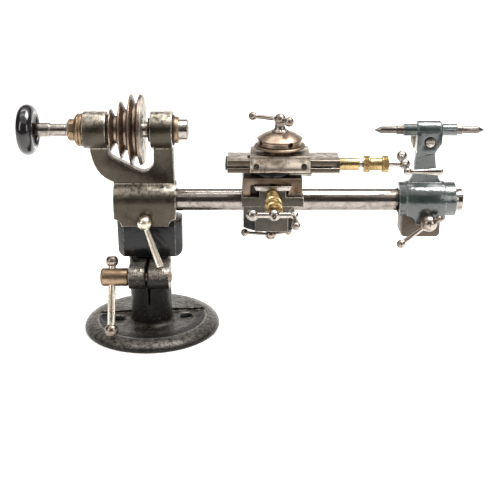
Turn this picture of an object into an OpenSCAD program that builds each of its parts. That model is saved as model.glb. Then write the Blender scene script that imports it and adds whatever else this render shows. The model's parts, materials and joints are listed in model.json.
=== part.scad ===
// Watchmaker's bench lathe: round foot with a split pillar, D-shaped bar bed, cone pulley
// headstock, compound slide rest and tailstock with a double-ended runner.
// Frame: X runs along the spindle to the tailstock, -Y faces the operator, Z is up, and
// the origin is the centre of the foot's underside.

/* [Layout] */
// Height of the bed bar's axis above the bench
bed_h = 104; // [98:0.5:112]
// Height of the spindle axis above the bed bar's axis
centre_h = 54; // [52:0.5:58]
// Distance from the pillar axis to the left end of the bed bar
bar_left = 24; // [22:0.5:30]
// Distance from the pillar axis to the middle of the saddle
saddle_x = 93.8; // [90:0.5:98]
// Distance from the pillar axis to the middle of the tailstock body
tail_x = 209.5; // [208:0.5:214]

/* [Bed bar] */
// Length of the bed bar
bar_len = 262.5; // [256:0.5:280]
// Radius of the bed bar
bar_r = 8.5; // [8:0.1:9]
// Drop from the bar's axis to the flat under it
bar_flat = 7.5; // [7:0.1:7.8]
// Chamfer at the bar's ends
bar_chamfer = 0.8; // [0.3:0.1:1.5]

/* [Foot] */
// Radius of the round foot
foot_r = 53; // [50:0.5:60]
// Height of the foot's plate
foot_h = 7.5; // [7:0.1:9]
// Height of the foot's outer edge
foot_edge_h = 2; // [1:0.1:3]
// Width of the foot's domed rim
foot_rim_w = 11; // [9:0.5:13]
// Angle that the foot is turned under the bed
foot_turn = 6; // [0:1:15]
// Depth of the half-moon recess in the foot
recess_depth = 2.2; // [1:0.1:3]
// Radius of the half-moon recess
recess_r = 42; // [40:0.5:44]
// How far behind the pillar axis the recess's straight edge lies
recess_y = 13; // [10:0.5:15]
// Distance between the two bolt holes
bolt_pitch = 54; // [50:0.5:60]
// Radius of the bolt holes
bolt_r = 3.3; // [2.5:0.1:4]
// Radius of the bolt holes' countersinks
sink_r = 5.7; // [5:0.1:6.5]
// Depth of the countersinks
sink_depth = 2.4; // [1:0.1:3]
// How far behind the foot's centre line the bolt holes lie
bolt_back = 2.5; // [0:0.5:5]
// Radius of the fillet at the pillar's root
root_fillet = 4; // [2:0.5:5]

/* [Pillar] */
// Outer radius of the pillar
pillar_r = 16; // [15:0.5:17]
// Gap between the pillar's top and the foot block
pillar_gap = 1.4; // [1:0.1:4]
// Radius of the pillar's socket
socket_r = 11; // [9:0.5:11.5]
// Height of the socket's floor
socket_floor = 14; // [11:0.5:20]
// Width of the slit in the pillar's front
slit_w = 1.4; // [1:0.1:2]
// Height where the slit ends
slit_foot = 24; // [20:0.5:30]
// Radius of the lugs that the clamp screw draws together
lug_r = 9; // [8.5:0.1:10]
// How far in front of the pillar axis the clamp screw lies
lug_y = 24; // [22:0.5:26]
// Drop from the pillar's top to the clamp screw's axis
lug_drop = 10.1; // [9:0.1:12]
// Left end of the lugs, from the pillar axis
lug_left = 13.8; // [12:0.1:15]
// Right end of the lugs, from the pillar axis
lug_right = 17.3; // [15:0.1:19]

/* [Pillar clamp screw] */
// Radius of the clamp screw's head
clamp_head_r = 6.9; // [6:0.1:7.5]
// Length of the clamp screw's head
clamp_head_len = 21; // [18:0.5:24]
// Radius of the clamp screw's shank
clamp_shank_r = 3.8; // [3:0.1:4.5]
// How far the clamp screw's tip passes the right lug
clamp_tip = 1.4; // [0.5:0.1:3]
// Radius of the tommy bar
tommy_r = 2.9; // [2.4:0.1:3.2]
// Gap between the tommy bar's lower ball and the foot
tommy_gap = 0.9; // [0.6:0.1:4]
// Lean of the tommy bar from upright, lower end towards the operator
tommy_lean = 24; // [22:1:30]
// Radius of the tommy bar's upper ball
tommy_top_r = 4.8; // [4.2:0.1:5]
// Radius of the tommy bar's lower ball
tommy_low_r = 5.2; // [4.6:0.1:5.4]

/* [Foot block] */
// Length of the block under the headstock
block_len = 49.4; // [48:0.1:52]
// Distance from the pillar axis to the block's middle
block_x = 1.3; // [0:0.1:2]
// Height of the block
block_h = 29.2; // [28:0.1:31]
// Drop from the bar's flat to the block's shoulders
block_drop = 5.5; // [5:0.1:6.5]
// Half the block's width, which fits between the headstock's aprons
block_half_w = 11; // [10.5:0.1:11.3]
// Chamfer of the block's upright corners
block_corner = 5; // [3:0.5:6]
// Radius of the post under the block
post_r = 10.95; // [8.95:0.5:11.45]
// Gap between the post's foot and the socket's floor
post_gap = 2; // [1:0.5:4]

/* [Headstock] */
// Length of the headstock's saddle over the bar
head_len = 46.7; // [45:0.1:48]
// Distance from the pillar axis to the saddle's left end
head_left = 24.6; // [24:0.1:25.5]
// Outer radius of the headstock's saddle
head_r = 15; // [14.5:0.1:16]
// Drop from the bed bar's axis to the headstock's apron edges
apron_drop = 16.8; // [16:0.1:17.8]
// Radius of the scallops in the aprons' lower corners
scallop_r = 5.5; // [4:0.1:7]
// Half the thickness of the headstock's arms
arm_half_w = 5.5; // [5:0.1:7]
// Radius of the two bearing barrels
barrel_r = 13.8; // [13:0.1:14.5]
// Left barrel's left end, from the pillar axis
rear_barrel_out = 45.2; // [44.5:0.1:46]
// Left barrel's right end, from the pillar axis
rear_barrel_in = 27.9; // [27.5:0.1:28.2]
// Right barrel's left end, from the pillar axis
front_barrel_in = 4.4; // [4:0.1:5]
// Right barrel's right end, from the pillar axis
front_barrel_out = 20.7; // [20:0.1:21.4]
// Outer radius of the spindle bushes
bush_r = 9.2; // [8.8:0.1:10]
// How far the bushes' flanges stand out past the bushes
bush_lip = 2; // [1.5:0.1:2.4]
// Thickness of the bushes' flanges
bush_flange = 1.2; // [0.8:0.1:1.4]

/* [Spindle] */
// Radius of the spindle's journals
journal_r = 6.6; // [6.2:0.1:7]
// Radius of the collet bore
collet_r = 3; // [2:0.1:4]
// Radius of the draw bar's passage through the spindle
passage_r = 4.3; // [4.2:0.1:4.6]
// Radius of the seat that the ring behind the nose sits on
nose_seat_r = 8.4; // [8.4:0.1:8.8]
// Radius of the nose
nose_r = 7.9; // [7.5:0.1:8.3]
// Length of the nose past its ring
nose_len = 6.7; // [5:0.1:8]
// Radius of the spindle's threaded tail
nut_r = 5.2; // [5:0.1:5.6]
// Radius of the take-up nut
take_up_r = 12.3; // [11.5:0.1:13]
// Width of the take-up nut
take_up_w = 6.4; // [5.5:0.1:7.5]
// Radius of the eight-sided lock nut over its corners
lock_r = 8.45; // [8:0.05:9]
// Width of the lock nut
lock_w = 4.9; // [4:0.1:6]
// Radius of the ring behind the nose
nose_ring_r = 10; // [9.5:0.1:11]
// Width of the ring behind the nose
nose_ring_w = 3.2; // [2.5:0.1:4]
// Running clearance of journals, screws and pins
fit = 0.05; // [0.02:0.01:0.08]

/* [Cone pulley] */
// Rim radii of the pulley's four flanges, small to large
flange_r = [15.4, 21, 26.2, 26.2];
// Places of the four flange tips along the spindle
flange_x = [-25.0, -17.4, -9.7, -3.0];
// Radii of the three grooves' floors
groove_r = [10.3, 15.3, 19.8];
// Half the width of a flange's tip
flange_tip = 0.45; // [0.3:0.05:0.7]
// Half the width of a groove's floor
groove_half_w = 0.8; // [0.5:0.1:1.2]
// Thickness of the index plate
index_t = 1.4; // [1:0.1:1.6]
// Hole counts of the index plate's two rings
index_holes = [60, 48];
// Radii of the index plate's two rings of holes
index_ring_r = [23.6, 20.2];
// Radius of an index hole
index_hole_r = 0.5; // [0.3:0.05:0.7]
// Radius of the four windows round the index plate's hub
window_r = 2.3; // [1.8:0.1:2.6]
// Distance from the spindle's axis to the windows
window_at = 10.6; // [10:0.1:12]

/* [Draw bar] */
// Radius of the draw tube's bare stretch
draw_r = 4.1; // [3.6:0.1:4.1]
// Radius of the sleeve between the nuts and the hand wheel
draw_sleeve_r = 5.3; // [4.8:0.1:6]
// Radius of the hand wheel
wheel_r = 19; // [17:0.5:21]
// Thickness of the hand wheel's rim
wheel_t = 12.5; // [10:0.5:14]
// Left face of the hand wheel, from the pillar axis
wheel_left = 93; // [91:0.5:97]

/* [Clamp levers] */
// Radius of the headstock's clamp shaft
ecc_r = 3.3; // [3:0.1:3.4]
// Drop from the bed bar's axis to the clamp shafts' axes
ecc_drop = 11.8; // [11.6:0.1:12.2]
// Radius of the headstock lever's ball
head_ball_r = 5.4; // [5:0.1:5.8]
// Length of the headstock lever from its ball's centre
head_lever_len = 34.5; // [30:0.5:35]
// Radius of the headstock lever at its ball
head_rod_r = 1.8; // [1.5:0.1:2.2]
// Radius of the headstock lever at its end
head_rod_end_r = 2.8; // [2.4:0.1:3.2]
// Angle of the headstock lever from straight down, towards the tailstock
head_lever_angle = 20; // [15:1:25]
// Radius of the tailstock lever's middle ball
tail_ball_r = 6.2; // [5.6:0.1:6.6]
// Reach of the tailstock lever's long arm
tail_arm = 25.5; // [22:0.5:27]
// Radius of the long arm's ball
tail_arm_r = 3.3; // [2.9:0.1:3.7]
// Reach of the tailstock lever's short arm
tail_stub = 8.3; // [8:0.1:10]
// Radius of the short arm's ball
tail_stub_r = 2.8; // [2.4:0.1:3.2]
// Radius of the tailstock lever's arms
tail_rod_r = 1.75; // [1.4:0.05:2.2]
// Radius of the levers' studs
lever_stud_r = 2.2; // [1.8:0.1:2.6]

/* [Saddle] */
// Length of the saddle along the bed
saddle_len = 44.2; // [42:0.1:46]
// Height of the saddle's top above the bed bar's axis
saddle_rise = 16; // [15.5:0.1:17]
// Thickness of the saddle's way plate
way_t = 7; // [6:0.1:8]
// Front of the way plate, from the bed axis
way_front = 46.5; // [45:0.1:48]
// Back of the way plate, from the bed axis
way_back = 20; // [18:0.5:24]
// Half the width of the saddle's body across the bed
saddle_half_w = 17; // [16.5:0.1:18]
// Half the width of the saddle's apron along the bed
saddle_apron_half = 12.5; // [11:0.1:14]
// Drop from the bed bar's axis to the saddle's apron edges
saddle_apron_drop = 20; // [18:0.1:22]
// Half the width of the cross way's top
cross_way_half = 13.3; // [12.8:0.1:13.6]
// Height of the cross way above the saddle's top
cross_way_h = 8.2; // [7.8:0.1:8.4]
// Thickness of the steel strips on the cross way
strip_t = 3.2; // [2.6:0.1:3.6]
// Height of the cross screw's axis above the saddle's top
cross_axis_up = 0.9; // [0.7:0.1:1.4]
// Radius of the saddle handle's hub ball
handle_hub_r = 4.4; // [4:0.1:5]
// Radius of the saddle handle's end balls
handle_ball_r = 3.1; // [2.6:0.1:3.4]
// Reach of the saddle handle to the left
handle_left = 20.2; // [18:0.1:22]
// Reach of the saddle handle to the right
handle_right = 13.4; // [12:0.1:16]
// Radius of the saddle handle's arms
handle_arm_r = 1.3; // [1:0.1:1.6]
// Height of the saddle handle's seat above its hub's centre
handle_seat = 2.8; // [2.4:0.1:3.2]
// Gap between the saddle handle and the shoe
handle_gap = 2.6; // [2:0.1:4]
// Radius of the saddle's clamp screw
saddle_screw_r = 3; // [2.5:0.1:3.5]

/* [Cross slide] */
// Height of the cross slide
cross_h = 13; // [12.5:0.1:14]
// Half the length of the cross slide along the bed
cross_half_len = 20.9; // [20:0.1:22]
// Front of the cross slide, from the bed axis
cross_front = 44; // [43:0.1:45]
// Back of the cross slide, from the bed axis
cross_back = 6; // [4:0.5:10]

/* [Top slide] */
// Centre line of the top slide, in front of the bed axis
top_y = 27.5; // [27:0.1:28.5]
// Thickness of the swivel disc
disc_t = 3; // [2.5:0.1:3.4]
// Radius of the swivel disc
disc_r = 16; // [14:0.5:17]
// Left end of the top bed, from the pillar axis
top_left = 61.5; // [60:0.1:63]
// Length of the top bed
top_len = 80; // [78:0.5:82]
// Half the width of the top bed's plate
top_plate_half = 12.6; // [12:0.1:13]
// Thickness of the top bed's plate
top_plate_t = 3.5; // [3:0.1:4]
// Half the width of the top way
top_way_half = 12; // [11.4:0.1:12.1]
// Height of the top way above its plate
top_way_h = 5.5; // [5:0.1:6]
// Height of the slots in the top way's sides
top_slot_h = 1.5; // [1.2:0.1:2]
// Depth of the slots in the top way's sides
top_slot_deep = 3; // [2:0.1:4]
// Height of the top screw's axis above the bed's underside
top_axis_up = 3.3; // [3.2:0.1:3.6]

/* [Carriage] */
// Left end of the carriage, from the pillar axis
carriage_left = 77.8; // [77:0.1:78.5]
// Length of the carriage
carriage_len = 42.4; // [40:0.1:44]
// Half the width of the carriage
carriage_half_w = 16; // [15.5:0.1:16.5]
// Thickness of the carriage above the way
carriage_roof = 3.7; // [3.2:0.1:4.2]

/* [Tool clamp] */
// Radius of the flange on the carriage
ring_r = 18.4; // [17:0.1:19]
// Thickness of the flange on the carriage
ring_h = 1.8; // [1.2:0.1:2]
// Radius of the pedestal under the flange
pedestal_r = 12; // [10:0.5:14]
// Height of the pedestal under the flange
pedestal_h = 3.2; // [2.5:0.1:4]
// Radius of the clamp disc
clamp_disc_r = 15.9; // [15:0.1:16.5]
// Height of the clamp disc to its flared rim
clamp_disc_h = 4.4; // [4.2:0.1:5]
// Height of the clamp disc's dome
clamp_dome_h = 5; // [3.5:0.1:5.5]
// Radius of the holes round the clamp disc
tool_hole_r = 2.1; // [1.5:0.1:2.1]
// Radius of the clamp stud
stud_r = 3; // [2.5:0.1:3.5]
// Height of the clamp handle's hub above the clamp disc
hub_lift = 8.7; // [8:0.1:10]
// Radius of the clamp handle's hub ball
clamp_hub_r = 4.15; // [3.9:0.05:4.5]
// Radius of the clamp handle's stem
stem_r = 3.6; // [3.4:0.1:3.8]
// Radius of the collar under the clamp handle's stem
stem_foot_r = 6.3; // [5:0.1:7]
// Reach of the clamp handle's long arm
clamp_far = 20; // [17:0.5:23]
// Radius of the long arm's ball
clamp_far_r = 3; // [2.6:0.1:3.4]
// Reach of the clamp handle's short arm
clamp_near = 10.8; // [10:0.1:14]
// Radius of the short arm's ball
clamp_near_r = 3.4; // [3:0.1:3.8]
// Radius of the clamp handle's arms
clamp_arm_r = 1.55; // [1.2:0.05:2]

/* [Feed screws] */
// Radius of the brass bearing sleeves
sleeve_r = 4.5; // [4.2:0.1:4.8]
// Length of the brass bearing sleeves
sleeve_len = 14.9; // [14:0.1:16]
// Bare screw between a sleeve and its dial
dial_gap = 2.7; // [2:0.1:3.5]
// Distance from the saddle's front to the cross crank's hub
cross_reach = 42; // [40.5:0.1:46]
// Distance from the top bed's right end to the top crank's hub
top_reach = 47.5; // [43:0.1:50]
// Radius of the dials' knurled bands
knurl_r = 6.1; // [5.6:0.1:6.4]
// Radius of the dials' plain barrel
dial_r = 4.7; // [4.4:0.1:5]
// Length of the dials
dial_len = 18.2; // [17:0.1:20]
// Radius of the feed screws
screw_r = 2; // [1.8:0.1:2.2]

/* [Cranks] */
// Radius of a crank's hub ball
hub_r = 3.9; // [3.6:0.1:4.2]
// Radius of a crank's large ball
big_ball_r = 4.0; // [3.6:0.1:4.2]
// Radius of a crank's small ball
small_ball_r = 2.8; // [2.5:0.1:3]
// Distance from a crank's hub to its large ball
big_throw = 14.6; // [13.5:0.1:14.8]
// Distance from a crank's hub to its small ball
small_throw = 13.6; // [12.5:0.1:14]
// Radius of a crank's arms
crank_arm_r = 1.9; // [1.5:0.1:2.1]
// Length of a crank's turned grip
grip_len = 23; // [20:0.5:25]
// Largest radius of a crank's grip
grip_r = 2.9; // [2.5:0.1:3.1]

/* [Tailstock] */
// Length of the tailstock's body along the bed
tail_len = 29; // [28:0.1:30]
// Outer radius of the tailstock's body
tail_r = 14.8; // [14.2:0.1:15.2]
// Drop from the bed bar's axis to the tailstock's apron edges
tail_apron_drop = 15.4; // [14.5:0.1:16.4]
// Depth of the shoe below the tailstock's apron edges
tail_shoe_drop = 11.2; // [9:0.1:12]
// Half the width of the tailstock's shoe across the bed
tail_shoe_half = 9.6; // [9:0.1:10]
// How far the shoe stands out past the tailstock's body, on the left
tail_shoe_out = 2.9; // [2:0.1:5]
// How far the shoe stays back from the body's right end
tail_shoe_in = 2.4; // [1:0.1:5]
// Length of the collar on the body's left
collar_left_len = 5.4; // [4:0.1:6.5]
// Length of the collar on the body's right
collar_right_len = 8.2; // [6:0.1:9]
// Half the depth of the runner block
runner_block_half = 6.9; // [6.6:0.1:7.6]
// Half the thickness of the neck under the runner block
neck_half = 3.5; // [3:0.1:5]
// Drop from the spindle's axis to the neck's top
neck_drop = 16; // [15:0.1:17]
// Radius of the sleeves that carry the runner
quill_r = 4.5; // [4.2:0.1:5]
// Radius of the runner's middle stretch
runner_r = 3.3; // [3:0.1:3.5]
// Radius of the runner's thin ends
runner_end_r = 2.7; // [2.4:0.1:2.9]
// Length of the runner's middle stretch
runner_mid_len = 48; // [46:0.5:52]
// Length of each thin end with its point
runner_end_len = 16.8; // [15:0.1:18]

/* [Hidden] */
$fn = 64;

// A hair that cutting tools reach past the faces they open
eps = 0.2;
// Clearance between sliding flats
slip = 0.3;
// Radius and depth of the centre marks in turned balls
mark_r = 0.4;
// Turn of a ball's seam away from its arm's seam
seam_turn = 90;
spindle_h = bed_h + centre_h;
flat_h = bed_h - bar_flat;
block_top = flat_h - block_drop;
block_foot = block_top - block_h;
pillar_h = block_foot - pillar_gap;
lug_h = pillar_h - lug_drop;
apron_h = bed_h - apron_drop;
ecc_h = bed_h - ecc_drop;
saddle_top = bed_h + saddle_rise;
saddle_apron_h = bed_h - saddle_apron_drop;
tail_apron_h = bed_h - tail_apron_drop;
head_right = head_len - head_left;
ecc_x = -1;

// Cylinder of radius r from x0 to x1 along X, on the axis y, z
module rod_x(r, x0, x1, y = 0, z = 0) {
    translate([x0, y, z]) rotate([0, 90, 0]) cylinder(r = r, h = x1 - x0);
}

// Cylinder of radius r from y0 to y1 along Y, on the axis x, z
module rod_y(r, y0, y1, x = 0, z = 0) {
    translate([x, y1, z]) rotate([90, 0, 0]) cylinder(r = r, h = y1 - y0);
}

// Box between two corners
module block(low, high) {
    translate(low) cube(high - low);
}

// Straight rod of radius r between two points
module strut(r, a, b) {
    d = b - a;
    length = norm(d);
    translate(a)
        rotate([0, acos(d.z / length), atan2(d.y, d.x)])
            cylinder(r = r, h = length);
}

// Turned ball of radius r round its centre, its poles along the line from a to b, with a
// centre mark at the pole nearer b
module ball(r, centre, a, b) {
    d = b - a;
    translate(centre)
        rotate([0, acos(d.z / norm(d)), atan2(d.y, d.x)])
            difference() {
                rotate([0, 0, seam_turn]) sphere(r = r);
                translate([0, 0, r - mark_r]) cylinder(r = mark_r, h = mark_r + eps);
            }
}

// Outline in X and Z, made solid from y0 to y1
module plate_xz(points, y0, y1) {
    translate([0, y1, 0]) rotate([90, 0, 0]) linear_extrude(y1 - y0) polygon(points);
}

// Outline in Y and Z, made solid from x0 to x1
module plate_yz(points, x0, x1) {
    translate([x0, 0, 0]) rotate([90, 0, 90]) linear_extrude(x1 - x0) polygon(points);
}

// Turned piece: an outline of [place along X, radius] turned about the axis y, z
module turned_x(points, y = 0, z = 0) {
    translate([0, y, z])
        rotate([0, 90, 0])
            rotate_extrude() polygon([for (p = points) [p[1], p[0]]]);
}

// Smooth curve from a to c that bends towards b
function bend(a, b, c, n = 8) = [
    for (i = [0 : n]) let (t = i / n)
        a * (1 - t) * (1 - t) + b * 2 * t * (1 - t) + c * t * t
];

// Points of an arc
function arc(centre, r, from, to, n = 12) = [
    for (i = [0 : n]) let (a = from + (to - from) * i / n)
        centre + r * [cos(a), sin(a)]
];

// Foot

recess_floor = foot_h - recess_depth;
cast_dark = [0.16, 0.18, 0.17];
steel = [0.72, 0.71, 0.69];
gunmetal = [0.33, 0.31, 0.28];
brass_tone = [0.72, 0.55, 0.26];
bronze_tone = [0.62, 0.55, 0.42];
green_paint = [0.29, 0.35, 0.34];
black_paint = [0.07, 0.07, 0.08];
saddle_paint = [0.26, 0.28, 0.26];

module foot_plate() {
    dome = [for (a = [0 : 9 : 90])
        [foot_r - foot_rim_w * (1 - cos(a)), foot_edge_h + (foot_h - foot_edge_h) * sin(a)]];
    difference() {
        rotate_extrude(convexity = 4) polygon(concat([[0, 0], [foot_r, 0]], dome, [[0, foot_h]]));
        intersection() {
            translate([0, recess_y, recess_floor]) cylinder(r = recess_r, h = foot_h);
            block([-foot_r, -foot_r, 0], [foot_r, recess_y, 2 * foot_h]);
        }
        for (side = [-1, 1]) translate([side * bolt_pitch / 2, bolt_back, -eps]) {
            cylinder(r = bolt_r, h = foot_h + 2 * eps);
            translate([0, 0, recess_floor - sink_depth + eps])
                cylinder(r1 = bolt_r, r2 = sink_r, h = sink_depth);
            translate([0, 0, recess_floor]) cylinder(r = sink_r, h = foot_h);
        }
    }
}

module foot() {
    color(cast_dark) difference() {
        union() {
            rotate([0, 0, foot_turn]) foot_plate();
            cylinder(r = pillar_r, h = pillar_h);
            rotate_extrude() polygon(concat(
                [[0, recess_floor - 1], [pillar_r + root_fillet, recess_floor - 1]],
                arc([pillar_r + root_fillet, recess_floor + root_fillet], root_fillet, 270, 180, 6),
                [[0, recess_floor + root_fillet]]));
            rod_x(lug_r, -lug_left, lug_right, -lug_y, lug_h);
            block([-lug_left, -lug_y, lug_h - lug_r], [lug_right, -pillar_r / 2, lug_h + lug_r]);
        }
        translate([0, 0, socket_floor]) cylinder(r = socket_r, h = pillar_h);
        block([-slit_w / 2, -lug_y - lug_r - eps, slit_foot], [slit_w / 2, 1 - socket_r, pillar_h + eps]);
        rod_x(clamp_shank_r + 2 * fit, -lug_left - eps, lug_right + eps, -lug_y, lug_h);
    }
}

// Clamp screw of the pillar and its tommy bar

clamp_face = -lug_left - slip;
tommy_x = clamp_face - 0.6 * clamp_head_len;
tommy_dir = [0, sin(tommy_lean), cos(tommy_lean)];
tommy_mid = [tommy_x, -lug_y, lug_h];
tommy_up = clamp_head_r + tommy_top_r + slip;
tommy_low = (lug_h - foot_h - tommy_low_r - tommy_gap) / cos(tommy_lean);

module pillar_screw() {
    dome = 2.2;
    color(bronze_tone) difference() {
        turned_x(concat([[clamp_face - clamp_head_len, 0]],
            [for (a = [0 : 15 : 90])
                [clamp_face - clamp_head_len + dome * (1 - cos(a)), clamp_head_r * (0.55 + 0.45 * sin(a))]],
            [[clamp_face - 0.8, clamp_head_r], [clamp_face, clamp_head_r - 0.8], [clamp_face, clamp_shank_r],
            [lug_right + clamp_tip - 1, clamp_shank_r], [lug_right + clamp_tip, clamp_shank_r - 1],
            [lug_right + clamp_tip, 0]]), -lug_y, lug_h);
        strut(tommy_r + 2 * fit, tommy_mid - 10 * tommy_dir, tommy_mid + 10 * tommy_dir);
    }
}

module tommy_bar() {
    color(steel) strut(tommy_r, tommy_mid - (tommy_low + tommy_low_r - 1.2) * tommy_dir,
        tommy_mid + (tommy_up + tommy_top_r - 1.2) * tommy_dir);
}

module tommy_balls() {
    color(steel) difference() {
        union() {
            translate(tommy_mid - tommy_low * tommy_dir) sphere(r = tommy_low_r);
            translate(tommy_mid + tommy_up * tommy_dir) sphere(r = tommy_top_r);
        }
        strut(tommy_r, tommy_mid - 60 * tommy_dir, tommy_mid + 60 * tommy_dir);
    }
}

// Foot block, bed bar and headstock

block_left = block_x - block_len / 2;
block_right = block_x + block_len / 2;
block_round = 4.5;

module foot_block() {
    w = block_half_w;
    c = block_corner;
    color(black_paint) difference() {
        union() {
            intersection() {
                linear_extrude(block_top) polygon([
                    [block_left, c - w], [block_left + c, -w], [block_right - c, -w], [block_right, c - w],
                    [block_right, w - c], [block_right - c, w], [block_left + c, w], [block_left, w - c]]);
                plate_xz(concat([[block_right, block_top], [block_left, block_top]],
                    arc([block_left + block_round, block_foot + block_round], block_round, 180, 270, 6),
                    arc([block_right - block_round, block_foot + block_round], block_round, 270, 360, 6)),
                    -w - eps, w + eps);
            }
            block([block_left, c - w, block_top - 1], [head_right - 1, w - c, flat_h]);
            translate([0, 0, socket_floor + post_gap])
                cylinder(r = post_r, h = block_foot + 1 - socket_floor - post_gap);
        }
        rod_y(ecc_r + fit, -w - eps, w + eps, ecc_x, ecc_h);
    }
}

module bed_bar() {
    right = bar_len - bar_left;
    groove_x = right - 4.2;
    color(steel) difference() {
        turned_x([[-bar_left, 0], [-bar_left, bar_r - bar_chamfer], [bar_chamfer - bar_left, bar_r],
            [groove_x, bar_r], [groove_x, bar_r - 0.5],
            [groove_x + 0.8, bar_r - 0.5], [groove_x + 0.8, bar_r], [right - bar_chamfer, bar_r],
            [right, bar_r - bar_chamfer], [right, 0]], 0, bed_h);
        block([-bar_left - eps, -bar_r, bed_h - 2 * bar_r], [right + eps, bar_r, flat_h]);
        rod_x(2.5, right - 12, right + eps, 0, bed_h);
    }
}

arm_left = rear_barrel_out - 2;
// How far the aprons stand back from the round saddle
apron_in = 0.1;

module headstock() {
    outer = bend([-head_left, bed_h + 15.2], [-39.8, bed_h + 20.6], [4 - rear_barrel_out, spindle_h - 12]);
    floor_z = spindle_h - max(flange_r) - 5;
    inner = concat([[0.6 - rear_barrel_in, spindle_h]],
        bend([0.6 - rear_barrel_in, floor_z + 17], [0.6 - rear_barrel_in, floor_z + 12.4],
            [-24, floor_z + 10.6], 4),
        bend([-7, floor_z + 1.6], [1.5, floor_z - 2.6], [front_barrel_in + 1.4, floor_z + 7]),
        [[front_barrel_in + 2.2, spindle_h]]);
    color(gunmetal) difference() {
        union() {
            plate_xz(concat([[head_right - 0.8, bed_h], [-head_left, bed_h]], outer,
                [[-arm_left, spindle_h]], inner, [[front_barrel_out, spindle_h],
                [front_barrel_out, spindle_h - barrel_r]]), -arm_half_w, arm_half_w);
            rod_x(barrel_r, -rear_barrel_out, -rear_barrel_in, 0, spindle_h);
            rod_x(barrel_r, front_barrel_in, front_barrel_out, 0, spindle_h);
            rod_x(head_r, -head_left, head_right, 0, bed_h);
            block([-head_left, apron_in - head_r, apron_h], [head_right, head_r - apron_in, bed_h]);
        }
        rod_x(bar_r, -head_left - eps, head_right + eps, 0, bed_h);
        block([-head_left - eps, -block_half_w, apron_h - eps],
            [head_right + eps, block_half_w, flat_h]);
        for (x = [-head_left, head_right])
            rod_y(scallop_r, -head_r - eps, head_r + eps, x, apron_h);
        rod_x(bush_r, -rear_barrel_out - eps, -rear_barrel_in + eps, 0, spindle_h);
        rod_x(bush_r, front_barrel_in - eps, front_barrel_out + eps, 0, spindle_h);
        rod_x(bush_r + bush_lip + slip, -rear_barrel_in, front_barrel_in, 0, spindle_h);
        rod_y(ecc_r + fit, -head_r - eps, head_r + eps, ecc_x, ecc_h);
    }
}

module bush(from, to, flange_from, flange_to) {
    difference() {
        union() {
            rod_x(bush_r, from, to, 0, spindle_h);
            rod_x(bush_r + bush_lip, flange_from, flange_to, 0, spindle_h);
        }
        rod_x(journal_r + fit, min(from, flange_from) - eps, max(to, flange_to) + eps, 0, spindle_h);
    }
}

module front_bush() {
    color(steel) bush(front_barrel_in, front_barrel_out, front_barrel_out, front_barrel_out + bush_flange);
}

module rear_bush() {
    color(steel) bush(-rear_barrel_out, -rear_barrel_in, -rear_barrel_in, 0.8 - rear_barrel_in);
}

// Spindle, cone pulley and nuts

nose_back = front_barrel_out + bush_flange + 0.15;
nose_front = nose_back + nose_ring_w;
nose_end = nose_front + nose_len;
tail_shoulder = -rear_barrel_out - 0.25;
spindle_tail = tail_shoulder - take_up_w - lock_w - 1.6;
collet_seat = nose_end - 24;
mouth_len = 3;
pulley_left = flange_x[0] - flange_tip;
pulley_right = flange_x[3] + flange_tip;
dust_x = front_barrel_in - 1.9;

module spindle() {
    color(steel) difference() {
        turned_x([[spindle_tail, 0], [spindle_tail, nut_r - 0.6], [spindle_tail + 0.6, nut_r],
            [tail_shoulder, nut_r], [tail_shoulder, journal_r], [pulley_right + index_t, journal_r],
            [pulley_right + index_t, nut_r + 0.5], [dust_x, nut_r + 0.5], [dust_x, journal_r],
            [nose_back, journal_r], [nose_back, nose_seat_r], [nose_front, nose_seat_r], [nose_front, nose_r],
            [nose_end - 0.7, nose_r], [nose_end, nose_r - 0.7], [nose_end, 0]], 0, spindle_h);
        rod_x(passage_r, spindle_tail - eps, collet_seat, 0, spindle_h);
        rod_x(collet_r, collet_seat - eps, nose_end + eps, 0, spindle_h);
        turned_x([[nose_end - mouth_len, 0], [nose_end - mouth_len, collet_r],
            [nose_end + eps, collet_r + 1.8], [nose_end + eps, 0]], 0, spindle_h);
        block([nose_end - 4, -0.8, spindle_h - nose_r - eps],
            [nose_end + eps, 0.8, spindle_h - nose_r + 1.4]);
    }
}

module cone_pulley() {
    left = [for (i = [0 : 3]) [flange_x[i] - flange_tip, flange_r[i]]];
    right = [for (i = [0 : 3]) [flange_x[i] + flange_tip, flange_r[i]]];
    floors = [for (i = [0 : 2]) (flange_x[i] + flange_x[i + 1]) / 2];
    color(gunmetal) difference() {
        turned_x([
            [pulley_left, 0], left[0], right[0],
            [floors[0] - groove_half_w, groove_r[0]], [floors[0] + groove_half_w, groove_r[0]],
            left[1], right[1],
            [floors[1] - groove_half_w, groove_r[1]], [floors[1] + groove_half_w, groove_r[1]],
            left[2], right[2],
            [floors[2] - groove_half_w, groove_r[2]], [floors[2] + groove_half_w, groove_r[2]],
            left[3], right[3], [pulley_right, 0]], 0, spindle_h);
        rod_x(journal_r, pulley_left - eps, pulley_right + eps, 0, spindle_h);
        translate([floors[0], 0, spindle_h]) cylinder(r = 1.5, h = flange_r[1]);
    }
}

module index_plate() {
    color(steel) difference() {
        rod_x(flange_r[3] - 0.8, pulley_right, pulley_right + index_t, 0, spindle_h);
        rod_x(journal_r, pulley_right - eps, pulley_right + index_t + eps, 0, spindle_h);
        for (a = [15 : 90 : 360])
            rod_x(window_r, pulley_right - eps, pulley_right + index_t + eps,
                window_at * cos(a), spindle_h + window_at * sin(a));
        for (ring = [0, 1], i = [1 : index_holes[ring]])
            let (a = 360 * i / index_holes[ring])
                rod_x(index_hole_r, pulley_right + index_t - 0.8, pulley_right + index_t + eps,
                    index_ring_r[ring] * cos(a), spindle_h + index_ring_r[ring] * sin(a), $fn = 24);
    }
}

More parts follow.
